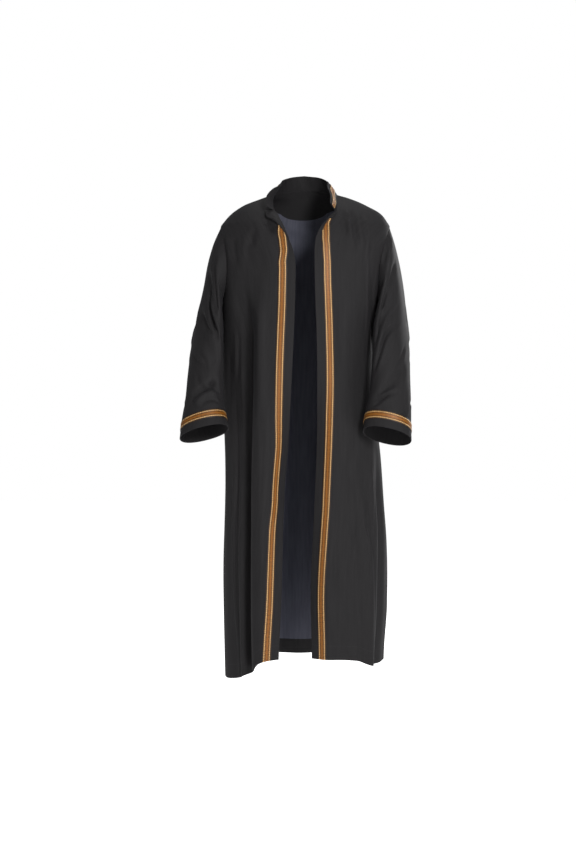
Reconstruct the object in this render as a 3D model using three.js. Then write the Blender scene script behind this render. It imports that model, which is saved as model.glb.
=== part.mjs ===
// An open-fronted black thobe with gold braid, in the hollow form it has when it is worn.
// Millimetres, +Z up. The front faces -Y and the wearer's left is +X. The origin lies between
// the two points where the shoulder seams meet the collar.
//
// The body is a stack of rings. A point of it is given by a turn, in degrees round the body
// (0 centre front, 90 wearer's left, -90 wearer's right, 180 centre back), and a height.
// Panels are grids of such points between their own edges, and each piece is a cloth wall.
import * as THREE from "three";
import { mergeVertices } from "three/addons/utils/BufferGeometryUtils.js";

// Driving sizes
const clothWall = 1.5; // woven cloth with its seams and facings
const collarWall = 2.4; // two layers with an interlining
const braidWall = 0.9;
const seamGap = 0.3;
const braidWidth = 24;
const cuffHem = 22; // bare cloth between the cuff's edge and the braid
const collarHeight = 42;
const collarGap = 2.4; // the collar stands this far above the neckline it is sewn to
const collarBraidRise = 9; // from the neckline up to the collar's braid
const ringPower = 2.2; // 2 is an ellipse, more is squarer
const underarmHeight = -300;
const shoulderTip = -95; // height of the shoulder seam's outer end
const neckEdgeHeight = 0; // height of its inner end
const armholeFront = 25; // how far the armhole cuts into the front, in degrees
const armholeBack = 32;
const braidTop = -82; // where the braid runs out under the folded front corner

// How finely the grids are cut
const hangRows = 14;
const armholeRows = 11;
const frontColumns = 13;
const backColumns = 16;
const neckRows = 5; // those of the back's armhole rows that end on the neckline
const sleeveRows = 15;
const collarColumns = 34;

// The body's rings. right and left are the half widths on the wearer's right and left, and
// swept is how far the arms push the sides back.
const bodyRings = [
  { z: -1360, right: 214, left: 213, front: 152, back: 152, swept: 0 },
  { z: -1280, right: 216, left: 215, front: 152, back: 150, swept: 0 },
  { z: -1150, right: 219, left: 224, front: 150, back: 146, swept: 0 },
  { z: -980, right: 221, left: 226, front: 147, back: 139, swept: 0 },
  { z: -820, right: 221, left: 219, front: 145, back: 133, swept: 0 },
  { z: -740, right: 222, left: 214, front: 144, back: 131, swept: 6 },
  { z: -660, right: 225, left: 206, front: 144, back: 128, swept: 16 },
  { z: -580, right: 229, left: 199, front: 144, back: 124, swept: 24 },
  { z: -480, right: 231, left: 195, front: 144, back: 119, swept: 22 },
  { z: -370, right: 230.5, left: 200, front: 146, back: 117, swept: 12 },
  { z: -300, right: 230, left: 207, front: 147, back: 118, swept: 0 },
  { z: -240, right: 233, left: 220, front: 144, back: 118, swept: 0 },
  { z: -180, right: 237, left: 231, front: 137, back: 115, swept: 0 },
  { z: -130, right: 239, left: 238, front: 125, back: 109, swept: 0 },
  { z: -95, right: 235, left: 239, front: 111, back: 103, swept: 0 },
  { z: -78, right: 224, left: 230, front: 100, back: 100, swept: 0 },
  { z: -56, right: 204, left: 211, front: 83, back: 96, swept: 0 },
  { z: -34, right: 171, left: 175, front: 60, back: 91, swept: 0 },
  { z: -22, right: 143, left: 150, front: 43, back: 88, swept: 0 },
  { z: -11, right: 115, left: 121, front: 26, back: 85, swept: 0 },
  { z: 0, right: 89, left: 89, front: 10, back: 82, swept: 0 },
  { z: 20, right: 78, left: 78, front: 6, back: 74, swept: 0 },
];

// The front edges and, above -58, the neckline: distance from the middle at each height.
const frontEdge = [
  { z: -1360, right: 76, left: 20 },
  { z: -1270, right: 74, left: 20 },
  { z: -1120, right: 67, left: 17 },
  { z: -850, right: 62, left: 28 },
  { z: -634, right: 45, left: 36 },
  { z: -380, right: 30, left: 31 },
  { z: -300, right: 27, left: 28 },
  { z: -214, right: 26, left: 26 },
  { z: -174, right: 32, left: 26 },
  { z: -143, right: 43, left: 29 },
  { z: -125, right: 50, left: 34 },
  { z: -107, right: 58, left: 43 },
  { z: -90, right: 65, left: 56 },
  { z: -68, right: 75, left: 73 },
  { z: -58, right: 84, left: 84 },
  { z: -40, right: 88, left: 89 },
  { z: 0, right: 89, left: 89 },
];

// The neckline behind, from the shoulder seam up to the nape.
const backNeck = [
  { z: 0, across: 89 },
  { z: 10, across: 67 },
  { z: 17, across: 37 },
  { z: 20, across: 0 },
];

// The hem's height round the body. The sides drop, and the front corners ride up.
const hemLine = [
  { turn: -180, z: -1304 },
  { turn: -140, z: -1308 },
  { turn: -110, z: -1328 },
  { turn: -85, z: -1351 },
  { turn: -66, z: -1344 },
  { turn: -50, z: -1324 },
  { turn: -40, z: -1307 },
  { turn: -29, z: -1288 },
  { turn: -18, z: -1284 },
  { turn: 0, z: -1283 },
  { turn: 22, z: -1284 },
  { turn: 40, z: -1289 },
  { turn: 53, z: -1304 },
  { turn: 68, z: -1307 },
  { turn: 95, z: -1297 },
  { turn: 140, z: -1301 },
  { turn: 180, z: -1304 },
];

// Long hanging folds. atTop and atHem are turns, spread is the half width, and rise is how far
// the fold stands out at its fullest, below zero for a trough. It fades in from top down to full.
const bodyFolds = [
  { atTop: -57, atHem: -58, spread: 24, rise: 9, top: -600, full: -900 },
  { atTop: -50, atHem: -49, spread: 34, rise: -14, top: -180, full: -420 },
  { atTop: -38, atHem: -41, spread: 26, rise: 9, top: -500, full: -860 },
  { atTop: -74, atHem: -72, spread: 24, rise: -10, top: -650, full: -1000 },
  { atTop: -98, atHem: -94, spread: 30, rise: 9, top: -720, full: -1100 },
  { atTop: -25, atHem: -24, spread: 38, rise: 5, top: -300, full: -700 },
  { atTop: 38, atHem: 52, spread: 22, rise: 9, top: -700, full: -980 },
  { atTop: 60, atHem: 54, spread: 22, rise: 8, top: -700, full: -940 },
  { atTop: 68, atHem: 67, spread: 26, rise: -13, top: -640, full: -900 },
  { atTop: 26, atHem: 24, spread: 60, rise: -5, top: -640, full: -1050 },
  { atTop: 96, atHem: 90, spread: 30, rise: 8, top: -780, full: -1100 },
  { atTop: 114, atHem: 110, spread: 30, rise: -11, top: -420, full: -900 },
  { atTop: 128, atHem: 130, spread: 32, rise: 15, top: -230, full: -780 },
  { atTop: 148, atHem: 146, spread: 28, rise: -13, top: -260, full: -840 },
  { atTop: 163, atHem: 161, spread: 30, rise: 13, top: -200, full: -900 },
  { atTop: 178, atHem: 181, spread: 30, rise: -12, top: -330, full: -820 },
  { atTop: -164, atHem: -160, spread: 32, rise: 15, top: -180, full: -760 },
  { atTop: -146, atHem: -142, spread: 28, rise: -13, top: -300, full: -900 },
  { atTop: -130, atHem: -126, spread: 32, rise: 14, top: -230, full: -800 },
  { atTop: -111, atHem: -106, spread: 28, rise: -12, top: -420, full: -980 },
];

// How each front's last stretch hangs: the degrees by which it is turned in towards the wearer
// on each side, as far as the braid's outer edge.
const edgeReach = 40;
const edgeEase = 5; // how softly the turn starts
const edgeTurn = [
  { z: -1360, right: 24, left: 43 },
  { z: -1120, right: 30, left: 42 },
  { z: -942, right: 38, left: 37 },
  { z: -850, right: 48, left: 34 },
  { z: -724, right: 48, left: 34 },
  { z: -634, right: 38, left: 31 },
  { z: -520, right: 24, left: 14 },
  { z: -420, right: 10, left: 0 },
  { z: -300, right: 0, left: 0 },
  { z: 20, right: 0, left: 0 },
];

// How much of the bare band and of the braid shows. Both run out under the front corner.
const frontTrim = [
  { z: -200, rightBand: 23, leftBand: 23, rightBraid: 24, leftBraid: 24 },
  { z: -160, rightBand: 10, leftBand: 20, rightBraid: 24, leftBraid: 24 },
  { z: -128, rightBand: 3, leftBand: 13, rightBraid: 23, leftBraid: 23 },
  { z: -107, rightBand: 2.5, leftBand: 9, rightBraid: 14, leftBraid: 17 },
  { z: -92, rightBand: 2.5, leftBand: 6, rightBraid: 8, leftBraid: 9 },
  { z: -70, rightBand: 2.5, leftBand: 4, rightBraid: 5, leftBraid: 5 },
];

// The sleeves' rings. outerX and outerZ are the ring's outer point, innerX and innerZ the one
// nearest the body, y its middle and skew how far the first lies behind that, and the
// second before it. deep is the half depth. lean turns the ring's front towards the body and
// pitch, with the forearm, upwards, both in degrees. The armhole is the ring before the first.
const sleeveRings = {
  right: [
    { outerX: 255, outerZ: -140, innerX: 231, innerZ: -310, y: 0, skew: 7, lean: 3, deep: 73, pitch: 0 },
    { outerX: 270, outerZ: -190, innerX: 230, innerZ: -322, y: -3, skew: 14, lean: 6, deep: 75, pitch: 0 },
    { outerX: 281, outerZ: -250, innerX: 229, innerZ: -340, y: -8, skew: 19, lean: 8, deep: 74, pitch: 0 },
    { outerX: 293, outerZ: -307, innerX: 227, innerZ: -363, y: -14, skew: 22, lean: 8, deep: 71, pitch: 0 },
    { outerX: 305, outerZ: -370, innerX: 226, innerZ: -402, y: -24, skew: 22, lean: 7, deep: 67, pitch: 4 },
    { outerX: 317, outerZ: -440, innerX: 225, innerZ: -455, y: -38, skew: 18, lean: 5, deep: 63, pitch: 9 },
    { outerX: 324, outerZ: -512, innerX: 224, innerZ: -514, y: -55, skew: 10, lean: 3, deep: 59, pitch: 14 },
    { outerX: 328, outerZ: -576, innerX: 223, innerZ: -568, y: -77, skew: 4, lean: 0, deep: 56, pitch: 18 },
    { outerX: 335, outerZ: -634, innerX: 217, innerZ: -613, y: -101, skew: 0, lean: 0, deep: 54, pitch: 20 },
    { outerX: 340, outerZ: -687, innerX: 207, innerZ: -653, y: -122, skew: 0, lean: 0, deep: 53, pitch: 21 },
  ],
  left: [
    { outerX: 254, outerZ: -140, innerX: 208, innerZ: -310, y: -5, skew: 12, lean: 6, deep: 72, pitch: 0 },
    { outerX: 266, outerZ: -190, innerX: 203, innerZ: -322, y: -9, skew: 25, lean: 9, deep: 74, pitch: 0 },
    { outerX: 276, outerZ: -250, innerX: 199, innerZ: -340, y: -16, skew: 29, lean: 10, deep: 73, pitch: 0 },
    { outerX: 283, outerZ: -307, innerX: 193, innerZ: -363, y: -26, skew: 30, lean: 10, deep: 70, pitch: 0 },
    { outerX: 288, outerZ: -368, innerX: 188.5, innerZ: -402, y: -40, skew: 28, lean: 8, deep: 66, pitch: 5 },
    { outerX: 291, outerZ: -440, innerX: 186, innerZ: -455, y: -58, skew: 21, lean: 5, deep: 61, pitch: 12 },
    { outerX: 290, outerZ: -512, innerX: 181, innerZ: -515, y: -80, skew: 12, lean: 2, deep: 57, pitch: 19 },
    { outerX: 289, outerZ: -577, innerX: 174, innerZ: -570, y: -103, skew: 4, lean: 0, deep: 54, pitch: 23 },
    { outerX: 289, outerZ: -636, innerX: 163, innerZ: -619, y: -120, skew: 1, lean: 0, deep: 52, pitch: 25 },
    { outerX: 288, outerZ: -692, innerX: 157, innerZ: -661, y: -136, skew: 0, lean: 0, deep: 51, pitch: 25 },
  ],
};

// Sleeve creases, each a straight line from one place to another on the sleeve. Places are given
// by ring number, 0 at the armhole, and turn, 0 outside, 90 in front, 180 next to the body.
const sleeveFolds = {
  right: [
    { ring: 1.2, turn: 60, endRing: 3.4, endTurn: 96, spread: 15, rise: -8 },
    { ring: 2.6, turn: 40, endRing: 5.2, endTurn: 118, spread: 16, rise: -6 },
    { ring: 4.6, turn: 35, endRing: 6.4, endTurn: 110, spread: 18, rise: -5 },
    { ring: 8.2, turn: 60, endRing: 7.6, endTurn: 120, spread: 12, rise: -9 },
    { ring: 7.6, turn: 120, endRing: 8.3, endTurn: 150, spread: 11, rise: -7 },
    { ring: 3.4, turn: 240, endRing: 6.0, endTurn: 290, spread: 20, rise: -5 },
  ],
  left: [
    { ring: 1.0, turn: 62, endRing: 3.2, endTurn: 100, spread: 14, rise: -8 },
    { ring: 2.0, turn: 45, endRing: 4.6, endTurn: 110, spread: 15, rise: -6 },
    { ring: 7.0, turn: 60, endRing: 8.4, endTurn: 125, spread: 15, rise: -8 },
    { ring: 3.4, turn: 245, endRing: 5.6, endTurn: 290, spread: 20, rise: -4 },
  ],
};

// The collar's lean away from the neck, in degrees, and its height as a share of collarHeight,
// from its front end (0) to the nape (1) on each side.
const collarShape = [
  { along: 0, right: 58, left: -15, tall: 0.7 },
  { along: 0.1, right: 36, left: -28, tall: 0.8 },
  { along: 0.2, right: 2, left: -35, tall: 0.88 },
  { along: 0.32, right: -28, left: -38, tall: 0.97 },
  { along: 0.45, right: -38, left: -37, tall: 1 },
  { along: 0.7, right: -32, left: -32, tall: 1 },
  { along: 1, right: -17, left: -17, tall: 1 },
];

const tiny = 0.05; // step of the differences that give a surface's normal

const radians = (degrees) => (degrees * Math.PI) / 180;
const mix = (a, b, share) => a + (b - a) * share;
const power = (value, p) => Math.sign(value) * Math.abs(value) ** p;

function smoothStep(from, to, value) {
  const share = Math.min(1, Math.max(0, (value - from) / (to - from)));
  return share * share * (3 - 2 * share);
}

// One column of a table at a place between its rows, on a curve that never overshoots them.
function read(table, place, column, at) {
  const last = table.length - 1;
  if (at <= table[0][place]) return table[0][column];
  if (at >= table[last][place]) return table[last][column];
  let i = 0;
  while (table[i + 1][place] < at) i++;
  const slope = (k) =>
    (table[k + 1][column] - table[k][column]) / (table[k + 1][place] - table[k][place]);
  const bend = (k) => {
    if (k === 0 || k === last) return slope(k === 0 ? 0 : last - 1);
    const [before, after] = [slope(k - 1), slope(k)];
    return before * after <= 0 ? 0 : (2 * before * after) / (before + after);
  };
  const step = table[i + 1][place] - table[i][place];
  const t = (at - table[i][place]) / step;
  const [a, b] = [table[i][column], table[i + 1][column]];
  return (
    a * (1 + 2 * t) * (1 - t) ** 2 +
    b * t * t * (3 - 2 * t) +
    bend(i) * step * t * (1 - t) ** 2 -
    bend(i + 1) * step * t * t * (1 - t)
  );
}

// The ring's plain outline, without folds.
function ringPoint(turn, z) {
  const wrapped = ((((turn + 180) % 360) + 360) % 360) - 180;
  const [across, ahead] = [Math.sin(radians(wrapped)), Math.cos(radians(wrapped))];
  const half = read(bodyRings, "z", across < 0 ? "right" : "left", z);
  const depth = read(bodyRings, "z", ahead > 0 ? "front" : "back", z);
  const swept = read(bodyRings, "z", "swept", z) * across ** 2;
  return new THREE.Vector3(
    half * power(across, 2 / ringPower),
    swept - depth * power(ahead, 2 / ringPower),
    z,
  );
}

// The turn at which a ring's front, or its back, is this far from the middle.
function turnAcross(x, z, behind = false) {
  const half = read(bodyRings, "z", x < 0 ? "right" : "left", z);
  const share = power(Math.min(1, Math.abs(x) / half), ringPower / 2);
  const turn = THREE.MathUtils.radToDeg(Math.asin(share));
  return (x < 0 ? -1 : 1) * (behind ? 180 - turn : turn);
}

function normalOf(surface, u, v) {
  const alongU = surface(u + tiny, v).sub(surface(u - tiny, v));
  const alongV = surface(u, v + tiny).sub(surface(u, v - tiny));
  return alongU.cross(alongV).normalize();
}

function turnBetween(a, b) {
  return ((((a - b + 180) % 360) + 360) % 360) - 180;
}

// How far the folds and the turned-in front edges move the cloth out at a place on the body.
function bodyFold(turn, z) {
  let out = 0;
  for (const fold of bodyFolds) {
    const share = THREE.MathUtils.clamp((fold.top - z) / (fold.top + 1300), 0, 1);
    const centre = mix(fold.atTop, fold.atHem, share);
    const away = radians(turnBetween(turn, centre)) * read(bodyRings, "z", "right", z);
    const fade = smoothStep(-fold.top, -fold.full, -z);
    out += fold.rise * fade * Math.exp(-((away / fold.spread) ** 2));
  }
  const side = turn < 0 ? "right" : "left";
  if (Math.abs(turn) < 60) {
    const edge = read(frontEdge, "z", side, z);
    const within = edgeReach + edge - Math.abs(ringPoint(turn, z).x);
    const eased = (within + Math.hypot(within, 2 * edgeEase)) / 2;
    out -= Math.tan(radians(read(edgeTurn, "z", side, z))) * eased;
  }
  return out;
}

function bodyPoint(turn, z) {
  return ringPoint(turn, z).addScaledVector(normalOf(ringPoint, turn, z), bodyFold(turn, z));
}

// A grid point: where the cloth's outer face is, and which way is out.
const bodyPlace = (turn, z) => ({
  point: bodyPoint(turn, z),
  out: normalOf(bodyPoint, turn, z),
});

// The armhole's turn and height at step from 0, the underarm, to armholeRows, the shoulder tip.
function armholeEdge(step, sign, behind) {
  const swing = Math.PI * (1 - step / armholeRows);
  const middle = (shoulderTip + underarmHeight) / 2;
  const bite = (behind ? armholeBack : -armholeFront) * Math.sin(swing);
  return {
    turn: sign * (90 + bite),
    z: middle + ((shoulderTip - underarmHeight) / 2) * Math.cos(swing),
  };
}

// The turn that lies this many millimetres round the ring from a starting turn.
function turnAlong(start, z, distance, sign) {
  const step = 0.5;
  let [turn, gone, here] = [start, 0, bodyPoint(start, z)];
  for (;;) {
    const next = bodyPoint(turn + sign * step, z);
    const length = next.distanceTo(here);
    if (gone + length >= distance) return turn + (sign * step * (distance - gone)) / length;
    [turn, gone, here] = [turn + sign * step, gone + length, next];
  }
}

// Moves a grid's last column and last row back by half a seam's gap.
function openSeams(grid) {
  const pull = (place, towards) => {
    const way = towards.point.clone().sub(place.point).normalize();
    place.point.addScaledVector(way, seamGap / 2 + 0.05);
  };
  const end = grid[0].length - 1;
  const last = grid.length - 1;
  grid.forEach((line) => pull(line[end], line[end - 1]));
  grid[last].forEach((place, i) => pull(place, grid[last - 1][i]));
}

// Heights up the hanging part: the row's height at an edge that starts at the hem there.
const hangHeight = (row, hem) => mix(hem, underarmHeight, row / hangRows);
const hemAt = (turn) => read(hemLine, "turn", "z", turn);

// One front, as rows from the hem up to the shoulder seam and columns from the front edge to
// the side seam and armhole. Its second and third columns are the braid's two edges.
function frontGrid(side) {
  const sign = side === "left" ? 1 : -1;
  const grid = [];
  for (let row = 0; row <= hangRows + armholeRows; row++) {
    const hanging = row <= hangRows;
    const step = row - hangRows;
    const bottomEdge = turnAcross(sign * frontEdge[0][side], hemAt(0));
    const edgeZ = hanging
      ? hangHeight(row, hemAt(bottomEdge))
      : mix(underarmHeight, neckEdgeHeight, step / armholeRows);
    const rim = hanging
      ? { turn: sign * 90, z: hangHeight(row, hemAt(sign * 90)) }
      : armholeEdge(step, sign, false);
    const edge = turnAcross(sign * read(frontEdge, "z", side, edgeZ), edgeZ);
    const band = read(frontTrim, "z", `${side}Band`, edgeZ);
    const shown = read(frontTrim, "z", `${side}Braid`, edgeZ);
    const top = row === hangRows + armholeRows;
    const reach = Math.abs(rim.turn - edge);
    const inner = top ? edge : turnAlong(edge, edgeZ, band, sign);
    const outer = top ? edge : turnAlong(edge, edgeZ, band + shown, sign);
    const share = (turn, plain) => (top ? plain : Math.min(Math.abs(turn - edge) / reach, 0.9));
    const shares = [0, share(inner, 0.02), share(outer, 0.18)];
    for (let i = 1; i <= frontColumns; i++) shares.push(mix(shares[2], 1, i / frontColumns));
    grid.push(
      shares.map((at) => {
        const turn = mix(edge, rim.turn, at);
        const z = hanging ? hangHeight(row, hemAt(turn)) : mix(edgeZ, rim.z, at);
        return bodyPlace(turn, z);
      }),
    );
  }
  return grid;
}

// Half the back, from the centre line, and above the nape the neckline, to the side.
function backGrid(side) {
  const sign = side === "left" ? 1 : -1;
  const napeRow = armholeRows - neckRows;
  const nape = backNeck[backNeck.length - 1].z;
  const grid = [];
  for (let row = 0; row <= hangRows + armholeRows; row++) {
    const hanging = row <= hangRows;
    const step = row - hangRows;
    const rim = hanging
      ? { turn: sign * 90, z: 0 }
      : armholeEdge(step, sign, true);
    let start = { turn: sign * 180, z: mix(underarmHeight, nape, step / napeRow) };
    if (step > napeRow) {
      const z = nape * (1 - ((step - napeRow) / neckRows) ** 2);
      start = { turn: turnAcross(sign * read(backNeck, "z", "across", z), z, true), z };
    }
    if (step === armholeRows) start.turn = sign * 90;
    const line = [];
    for (let i = 0; i <= backColumns; i++) {
      const at = i / backColumns;
      const turn = mix(start.turn, rim.turn, at);
      line.push(bodyPlace(turn, hanging ? hangHeight(row, hemAt(turn)) : mix(start.z, rim.z, at)));
    }
    grid.push(line);
  }
  return grid;
}

// The armhole's points in order round the sleeve: shoulder, front, underarm, back.
function armholeLoop(side) {
  const sign = side === "left" ? 1 : -1;
  const loop = [];
  for (let i = 0; i < 2 * armholeRows; i++) {
    const behind = i > armholeRows;
    const step = behind ? i - armholeRows : armholeRows - i;
    const { turn, z } = armholeEdge(step, sign, behind);
    loop.push(bodyPlace(turn, z));
  }
  return loop;
}

// A point of one of the sleeve's own rings.
function cuffPoint(side, ring, swing) {
  const sign = side === "left" ? 1 : -1;
  const outer = new THREE.Vector3(sign * ring.outerX, ring.y + ring.skew, ring.outerZ);
  const inner = new THREE.Vector3(sign * ring.innerX, ring.y - ring.skew, ring.innerZ);
  const across = outer.clone().sub(inner).multiplyScalar(0.5);
  const upArm = new THREE.Vector3(-across.z, 0, across.x).normalize();
  if (upArm.z < 0) upArm.negate();
  const inwards = -sign * Math.sin(radians(ring.lean));
  const ahead = new THREE.Vector3(inwards, -Math.cos(radians(ring.lean)), 0)
    .multiplyScalar(Math.cos(radians(ring.pitch)))
    .addScaledVector(upArm, Math.sin(radians(ring.pitch)));
  return outer
    .add(inner)
    .multiplyScalar(0.5)
    .addScaledVector(across, power(Math.cos(swing), 2 / ringPower))
    .addScaledVector(ahead, ring.deep * power(Math.sin(swing), 2 / ringPower));
}

// How far the creases move the cloth out at a ring number and turn on a sleeve.
function sleeveFold(side, ring, turn, girth, spacing) {
  let out = 0;
  for (const fold of sleeveFolds[side]) {
    const run = [(fold.endRing - fold.ring) * spacing, ((fold.endTurn - fold.turn) / 360) * girth];
    const to = [(ring - fold.ring) * spacing, ((turn - fold.turn) / 360) * girth];
    const share = (to[0] * run[0] + to[1] * run[1]) / (run[0] ** 2 + run[1] ** 2);
    const held = THREE.MathUtils.clamp(share, 0, 1);
    const away = Math.hypot(to[0] - run[0] * held, to[1] - run[1] * held);
    out += fold.rise * Math.exp(-((away / fold.spread) ** 2));
  }
  return out;
}

// One sleeve, as rows from the armhole down to the cuff. Each line of it runs down through all
// the rings. The last two rows above the cuff's edge are the braid's edges.
function sleeveGrid(side) {
  const loop = armholeLoop(side);
  const rings = sleeveRings[side];
  const around = loop.length;
  const finePerRing = 12;
  const lines = loop.map((place, i) => {
    const swing = (2 * Math.PI * i) / around;
    const own = rings.map((ring) => cuffPoint(side, ring, swing));
    const facing = Math.max(0, -Math.cos(swing));
    const way = own[0].clone().sub(place.point).normalize();
    const start = place.point
      .clone()
      .addScaledVector(way, seamGap + 0.1)
      .addScaledVector(place.out, 0.5 * facing);
    const curve = new THREE.CatmullRomCurve3([start, ...own], false, "centripetal");
    const fine = [];
    for (let k = 0; k <= rings.length * finePerRing; k++)
      fine.push(curve.getPoint(k / (rings.length * finePerRing)));
    const fromCuff = new Array(fine.length).fill(0);
    for (let k = fine.length - 2; k >= 0; k--)
      fromCuff[k] = fromCuff[k + 1] + fine[k].distanceTo(fine[k + 1]);
    return { fine, fromCuff };
  });
  const placeAt = ({ fine, fromCuff }, distance) => {
    let k = fine.length - 1;
    while (k > 1 && fromCuff[k - 1] < distance) k--;
    const share = (distance - fromCuff[k]) / (fromCuff[k - 1] - fromCuff[k]);
    return {
      point: fine[k].clone().lerp(fine[k - 1], Math.min(1, share)),
      ring: (k - Math.min(1, share)) / finePerRing,
    };
  };
  const points = [];
  for (let row = 0; row <= sleeveRows; row++) {
    points.push(
      lines.map((line) => {
        const low = cuffHem + braidWidth;
        if (row === sleeveRows) return placeAt(line, 0);
        if (row === sleeveRows - 1) return placeAt(line, cuffHem);
        const share = row / (sleeveRows - 2);
        return placeAt(line, mix(line.fromCuff[0], low, share ** 0.85));
      }),
    );
  }
  const girth = 400;
  const spacing = 58;
  const foldFade = (row) => Math.min(1, row / 2) * Math.min(1, (sleeveRows - 2 - row) / 2 + 0.35);
  const plain = gridNormals(points.map((line) => line.map((place) => place.point)), side);
  plain.forEach((line, row) =>
    line.forEach((place, i) => {
      const turn = (360 * i) / around;
      const fold = sleeveFold(side, points[row][i].ring, turn, girth, spacing);
      place.point.addScaledVector(place.out, fold * Math.max(0, foldFade(row)));
    }),
  );
  const folded = gridNormals(plain.map((line) => line.map((place) => place.point)), side);
  folded[0].forEach((place, i) => {
    if (place.out.dot(loop[i].out) > 0.2) place.out.copy(loop[i].out);
  });
  return folded;
}

// Normals for a ring-shaped grid of points, from its own neighbours.
function gridNormals(points, side) {
  const around = points[0].length;
  return points.map((line, row) =>
    line.map((point, i) => {
      const next = line[(i + 1) % around].clone().sub(line[(i + around - 1) % around]);
      const above = points[Math.max(0, row - 1)][i];
      const below = points[Math.min(points.length - 1, row + 1)][i];
      const out = next.cross(below.clone().sub(above)).normalize();
      if (side === "right") out.negate();
      return { point: point.clone(), out };
    }),
  );
}

// The neckline in order from the wearer's right front end, round the nape, to the left one.
function necklinePoints() {
  const half = (side, sign) => {
    const points = [];
    const steps = collarColumns / 2;
    const nape = backNeck[backNeck.length - 1].z;
    const low = -58;
    const frontSteps = 7;
    for (let i = 0; i <= frontSteps; i++) {
      const z = mix(low, neckEdgeHeight, i / frontSteps);
      const x = sign * read(frontEdge, "z", side, z);
      const turn = i === frontSteps ? sign * 90 : turnAcross(x, z);
      points.push(bodyPoint(turn, z));
    }
    for (let i = 1; i <= steps; i++) {
      const z = nape * (1 - (1 - i / steps) ** 2);
      points.push(bodyPoint(turnAcross(sign * read(backNeck, "z", "across", z), z, true), z));
    }
    return points;
  };
  const right = half("right", -1);
  const left = half("left", 1).reverse().slice(1);
  const curve = new THREE.CatmullRomCurve3([...right, ...left], false, "centripetal");
  return curve.getSpacedPoints(collarColumns);
}

// The collar, as rows from the neckline up. The second and third rows are its braid's edges.
function collarGrid() {
  const base = necklinePoints();
  const rises = [collarGap, collarBraidRise, collarBraidRise + braidWidth, collarHeight];
  return rises.map((rise, row) =>
    base.map((point, i) => {
      const before = base[Math.max(0, i - 1)];
      const after = base[Math.min(base.length - 1, i + 1)];
      const run = after.clone().sub(before).normalize();
      const away = new THREE.Vector3(-run.y, run.x, 0).normalize();
      const stand = away.clone().cross(run).normalize();
      if (stand.z < 0) stand.negate();
      const share = i / (base.length - 1);
      const along = 1 - Math.abs(2 * share - 1);
      const side = share < 0.5 ? "right" : "left";
      const lean = radians(read(collarShape, "along", side, along));
      const tall = read(collarShape, "along", "tall", along);
      const up = stand.clone().multiplyScalar(Math.cos(lean)).addScaledVector(away, Math.sin(lean));
      const out = away.multiplyScalar(Math.cos(lean)).addScaledVector(stand, -Math.sin(lean));
      const height = row === 0 ? rise : rise * tall;
      return { point: point.clone().addScaledVector(up, height), out };
    }),
  );
}

// A closed cloth wall: the grids' outer faces, inner faces one thickness in, and a rim.
// Grids that share points are one piece. wrap joins a grid's last column to its first.
function wall(grids, thickness, { wrap = false, lift = 0 } = {}) {
  const places = [];
  const known = new Map();
  const indexOf = ({ point, out }) => {
    const key = [point.x, point.y, point.z].map((value) => Math.round(value * 50)).join();
    if (!known.has(key)) {
      known.set(key, places.length);
      places.push({ point: point.clone().addScaledVector(out, lift), out });
    }
    return known.get(key);
  };
  const faces = [];
  grids.forEach(({ grid, turned }) => {
    const columns = grid[0].length;
    for (let row = 0; row < grid.length - 1; row++) {
      for (let i = 0; i < (wrap ? columns : columns - 1); i++) {
        const next = (i + 1) % columns;
        const [a, b, c, d] = [
          grid[row][i],
          grid[row][next],
          grid[row + 1][next],
          grid[row + 1][i],
        ].map(indexOf);
        const pair = [
          [a, b, c],
          [a, c, d],
        ];
        faces.push(...pair.map((face) => (turned ? face.reverse() : face)));
      }
    }
  });
  const solidFaces = faces.filter(([a, b, c]) => a !== b && b !== c && c !== a);
  const count = places.length;
  const positions = new Float32Array(count * 6);
  places.forEach(({ point, out }, i) => {
    point.toArray(positions, i * 3);
    point.clone().addScaledVector(out, -thickness).toArray(positions, (count + i) * 3);
  });
  const edges = new Set();
  solidFaces.forEach(([a, b, c]) =>
    [[a, b], [b, c], [c, a]].forEach(([p, q]) => edges.add(`${p},${q}`)),
  );
  const index = [];
  solidFaces.forEach(([a, b, c]) => index.push(a, b, c, count + a, count + c, count + b));
  edges.forEach((edge) => {
    const [p, q] = edge.split(",").map(Number);
    if (!edges.has(`${q},${p}`)) index.push(q, p, count + p, q, count + p, count + q);
  });
  const geometry = new THREE.BufferGeometry();
  geometry.setAttribute("position", new THREE.BufferAttribute(positions, 3));
  geometry.setIndex(index);
  return mergeVertices(geometry, 1e-3);
}

const cloth = () =>
  new THREE.MeshStandardMaterial({ color: 0x29292b, roughness: 0.72, metalness: 0 });
const braid = () =>
  new THREE.MeshStandardMaterial({ color: 0xa8713a, roughness: 0.5, metalness: 0.15 });

const thobe = new THREE.Group();
function add(name, geometry, material) {
  const mesh = new THREE.Mesh(geometry, material);
  mesh.name = name;
  thobe.add(mesh);
}

function addFront(side) {
  const grid = frontGrid(side);
  const turned = side === "left";
  openSeams(grid);
  add(`front_${side}`, wall([{ grid, turned: !turned }], clothWall), cloth());
  const topRow = grid.findIndex((line) => line[0].point.z > braidTop);
  const strip = grid.slice(0, topRow + 1).map((line) => [line[1], line[2]]);
  const laid = wall([{ grid: strip, turned: !turned }], braidWall, { lift: seamGap + braidWall });
  add(`braid_front_${side}`, laid, braid());
}

function addBack() {
  const halves = ["right", "left"].map((side) => {
    const grid = backGrid(side);
    openSeams(grid);
    return { grid, turned: side === "left" };
  });
  add("back", wall(halves, clothWall), cloth());
}

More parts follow.
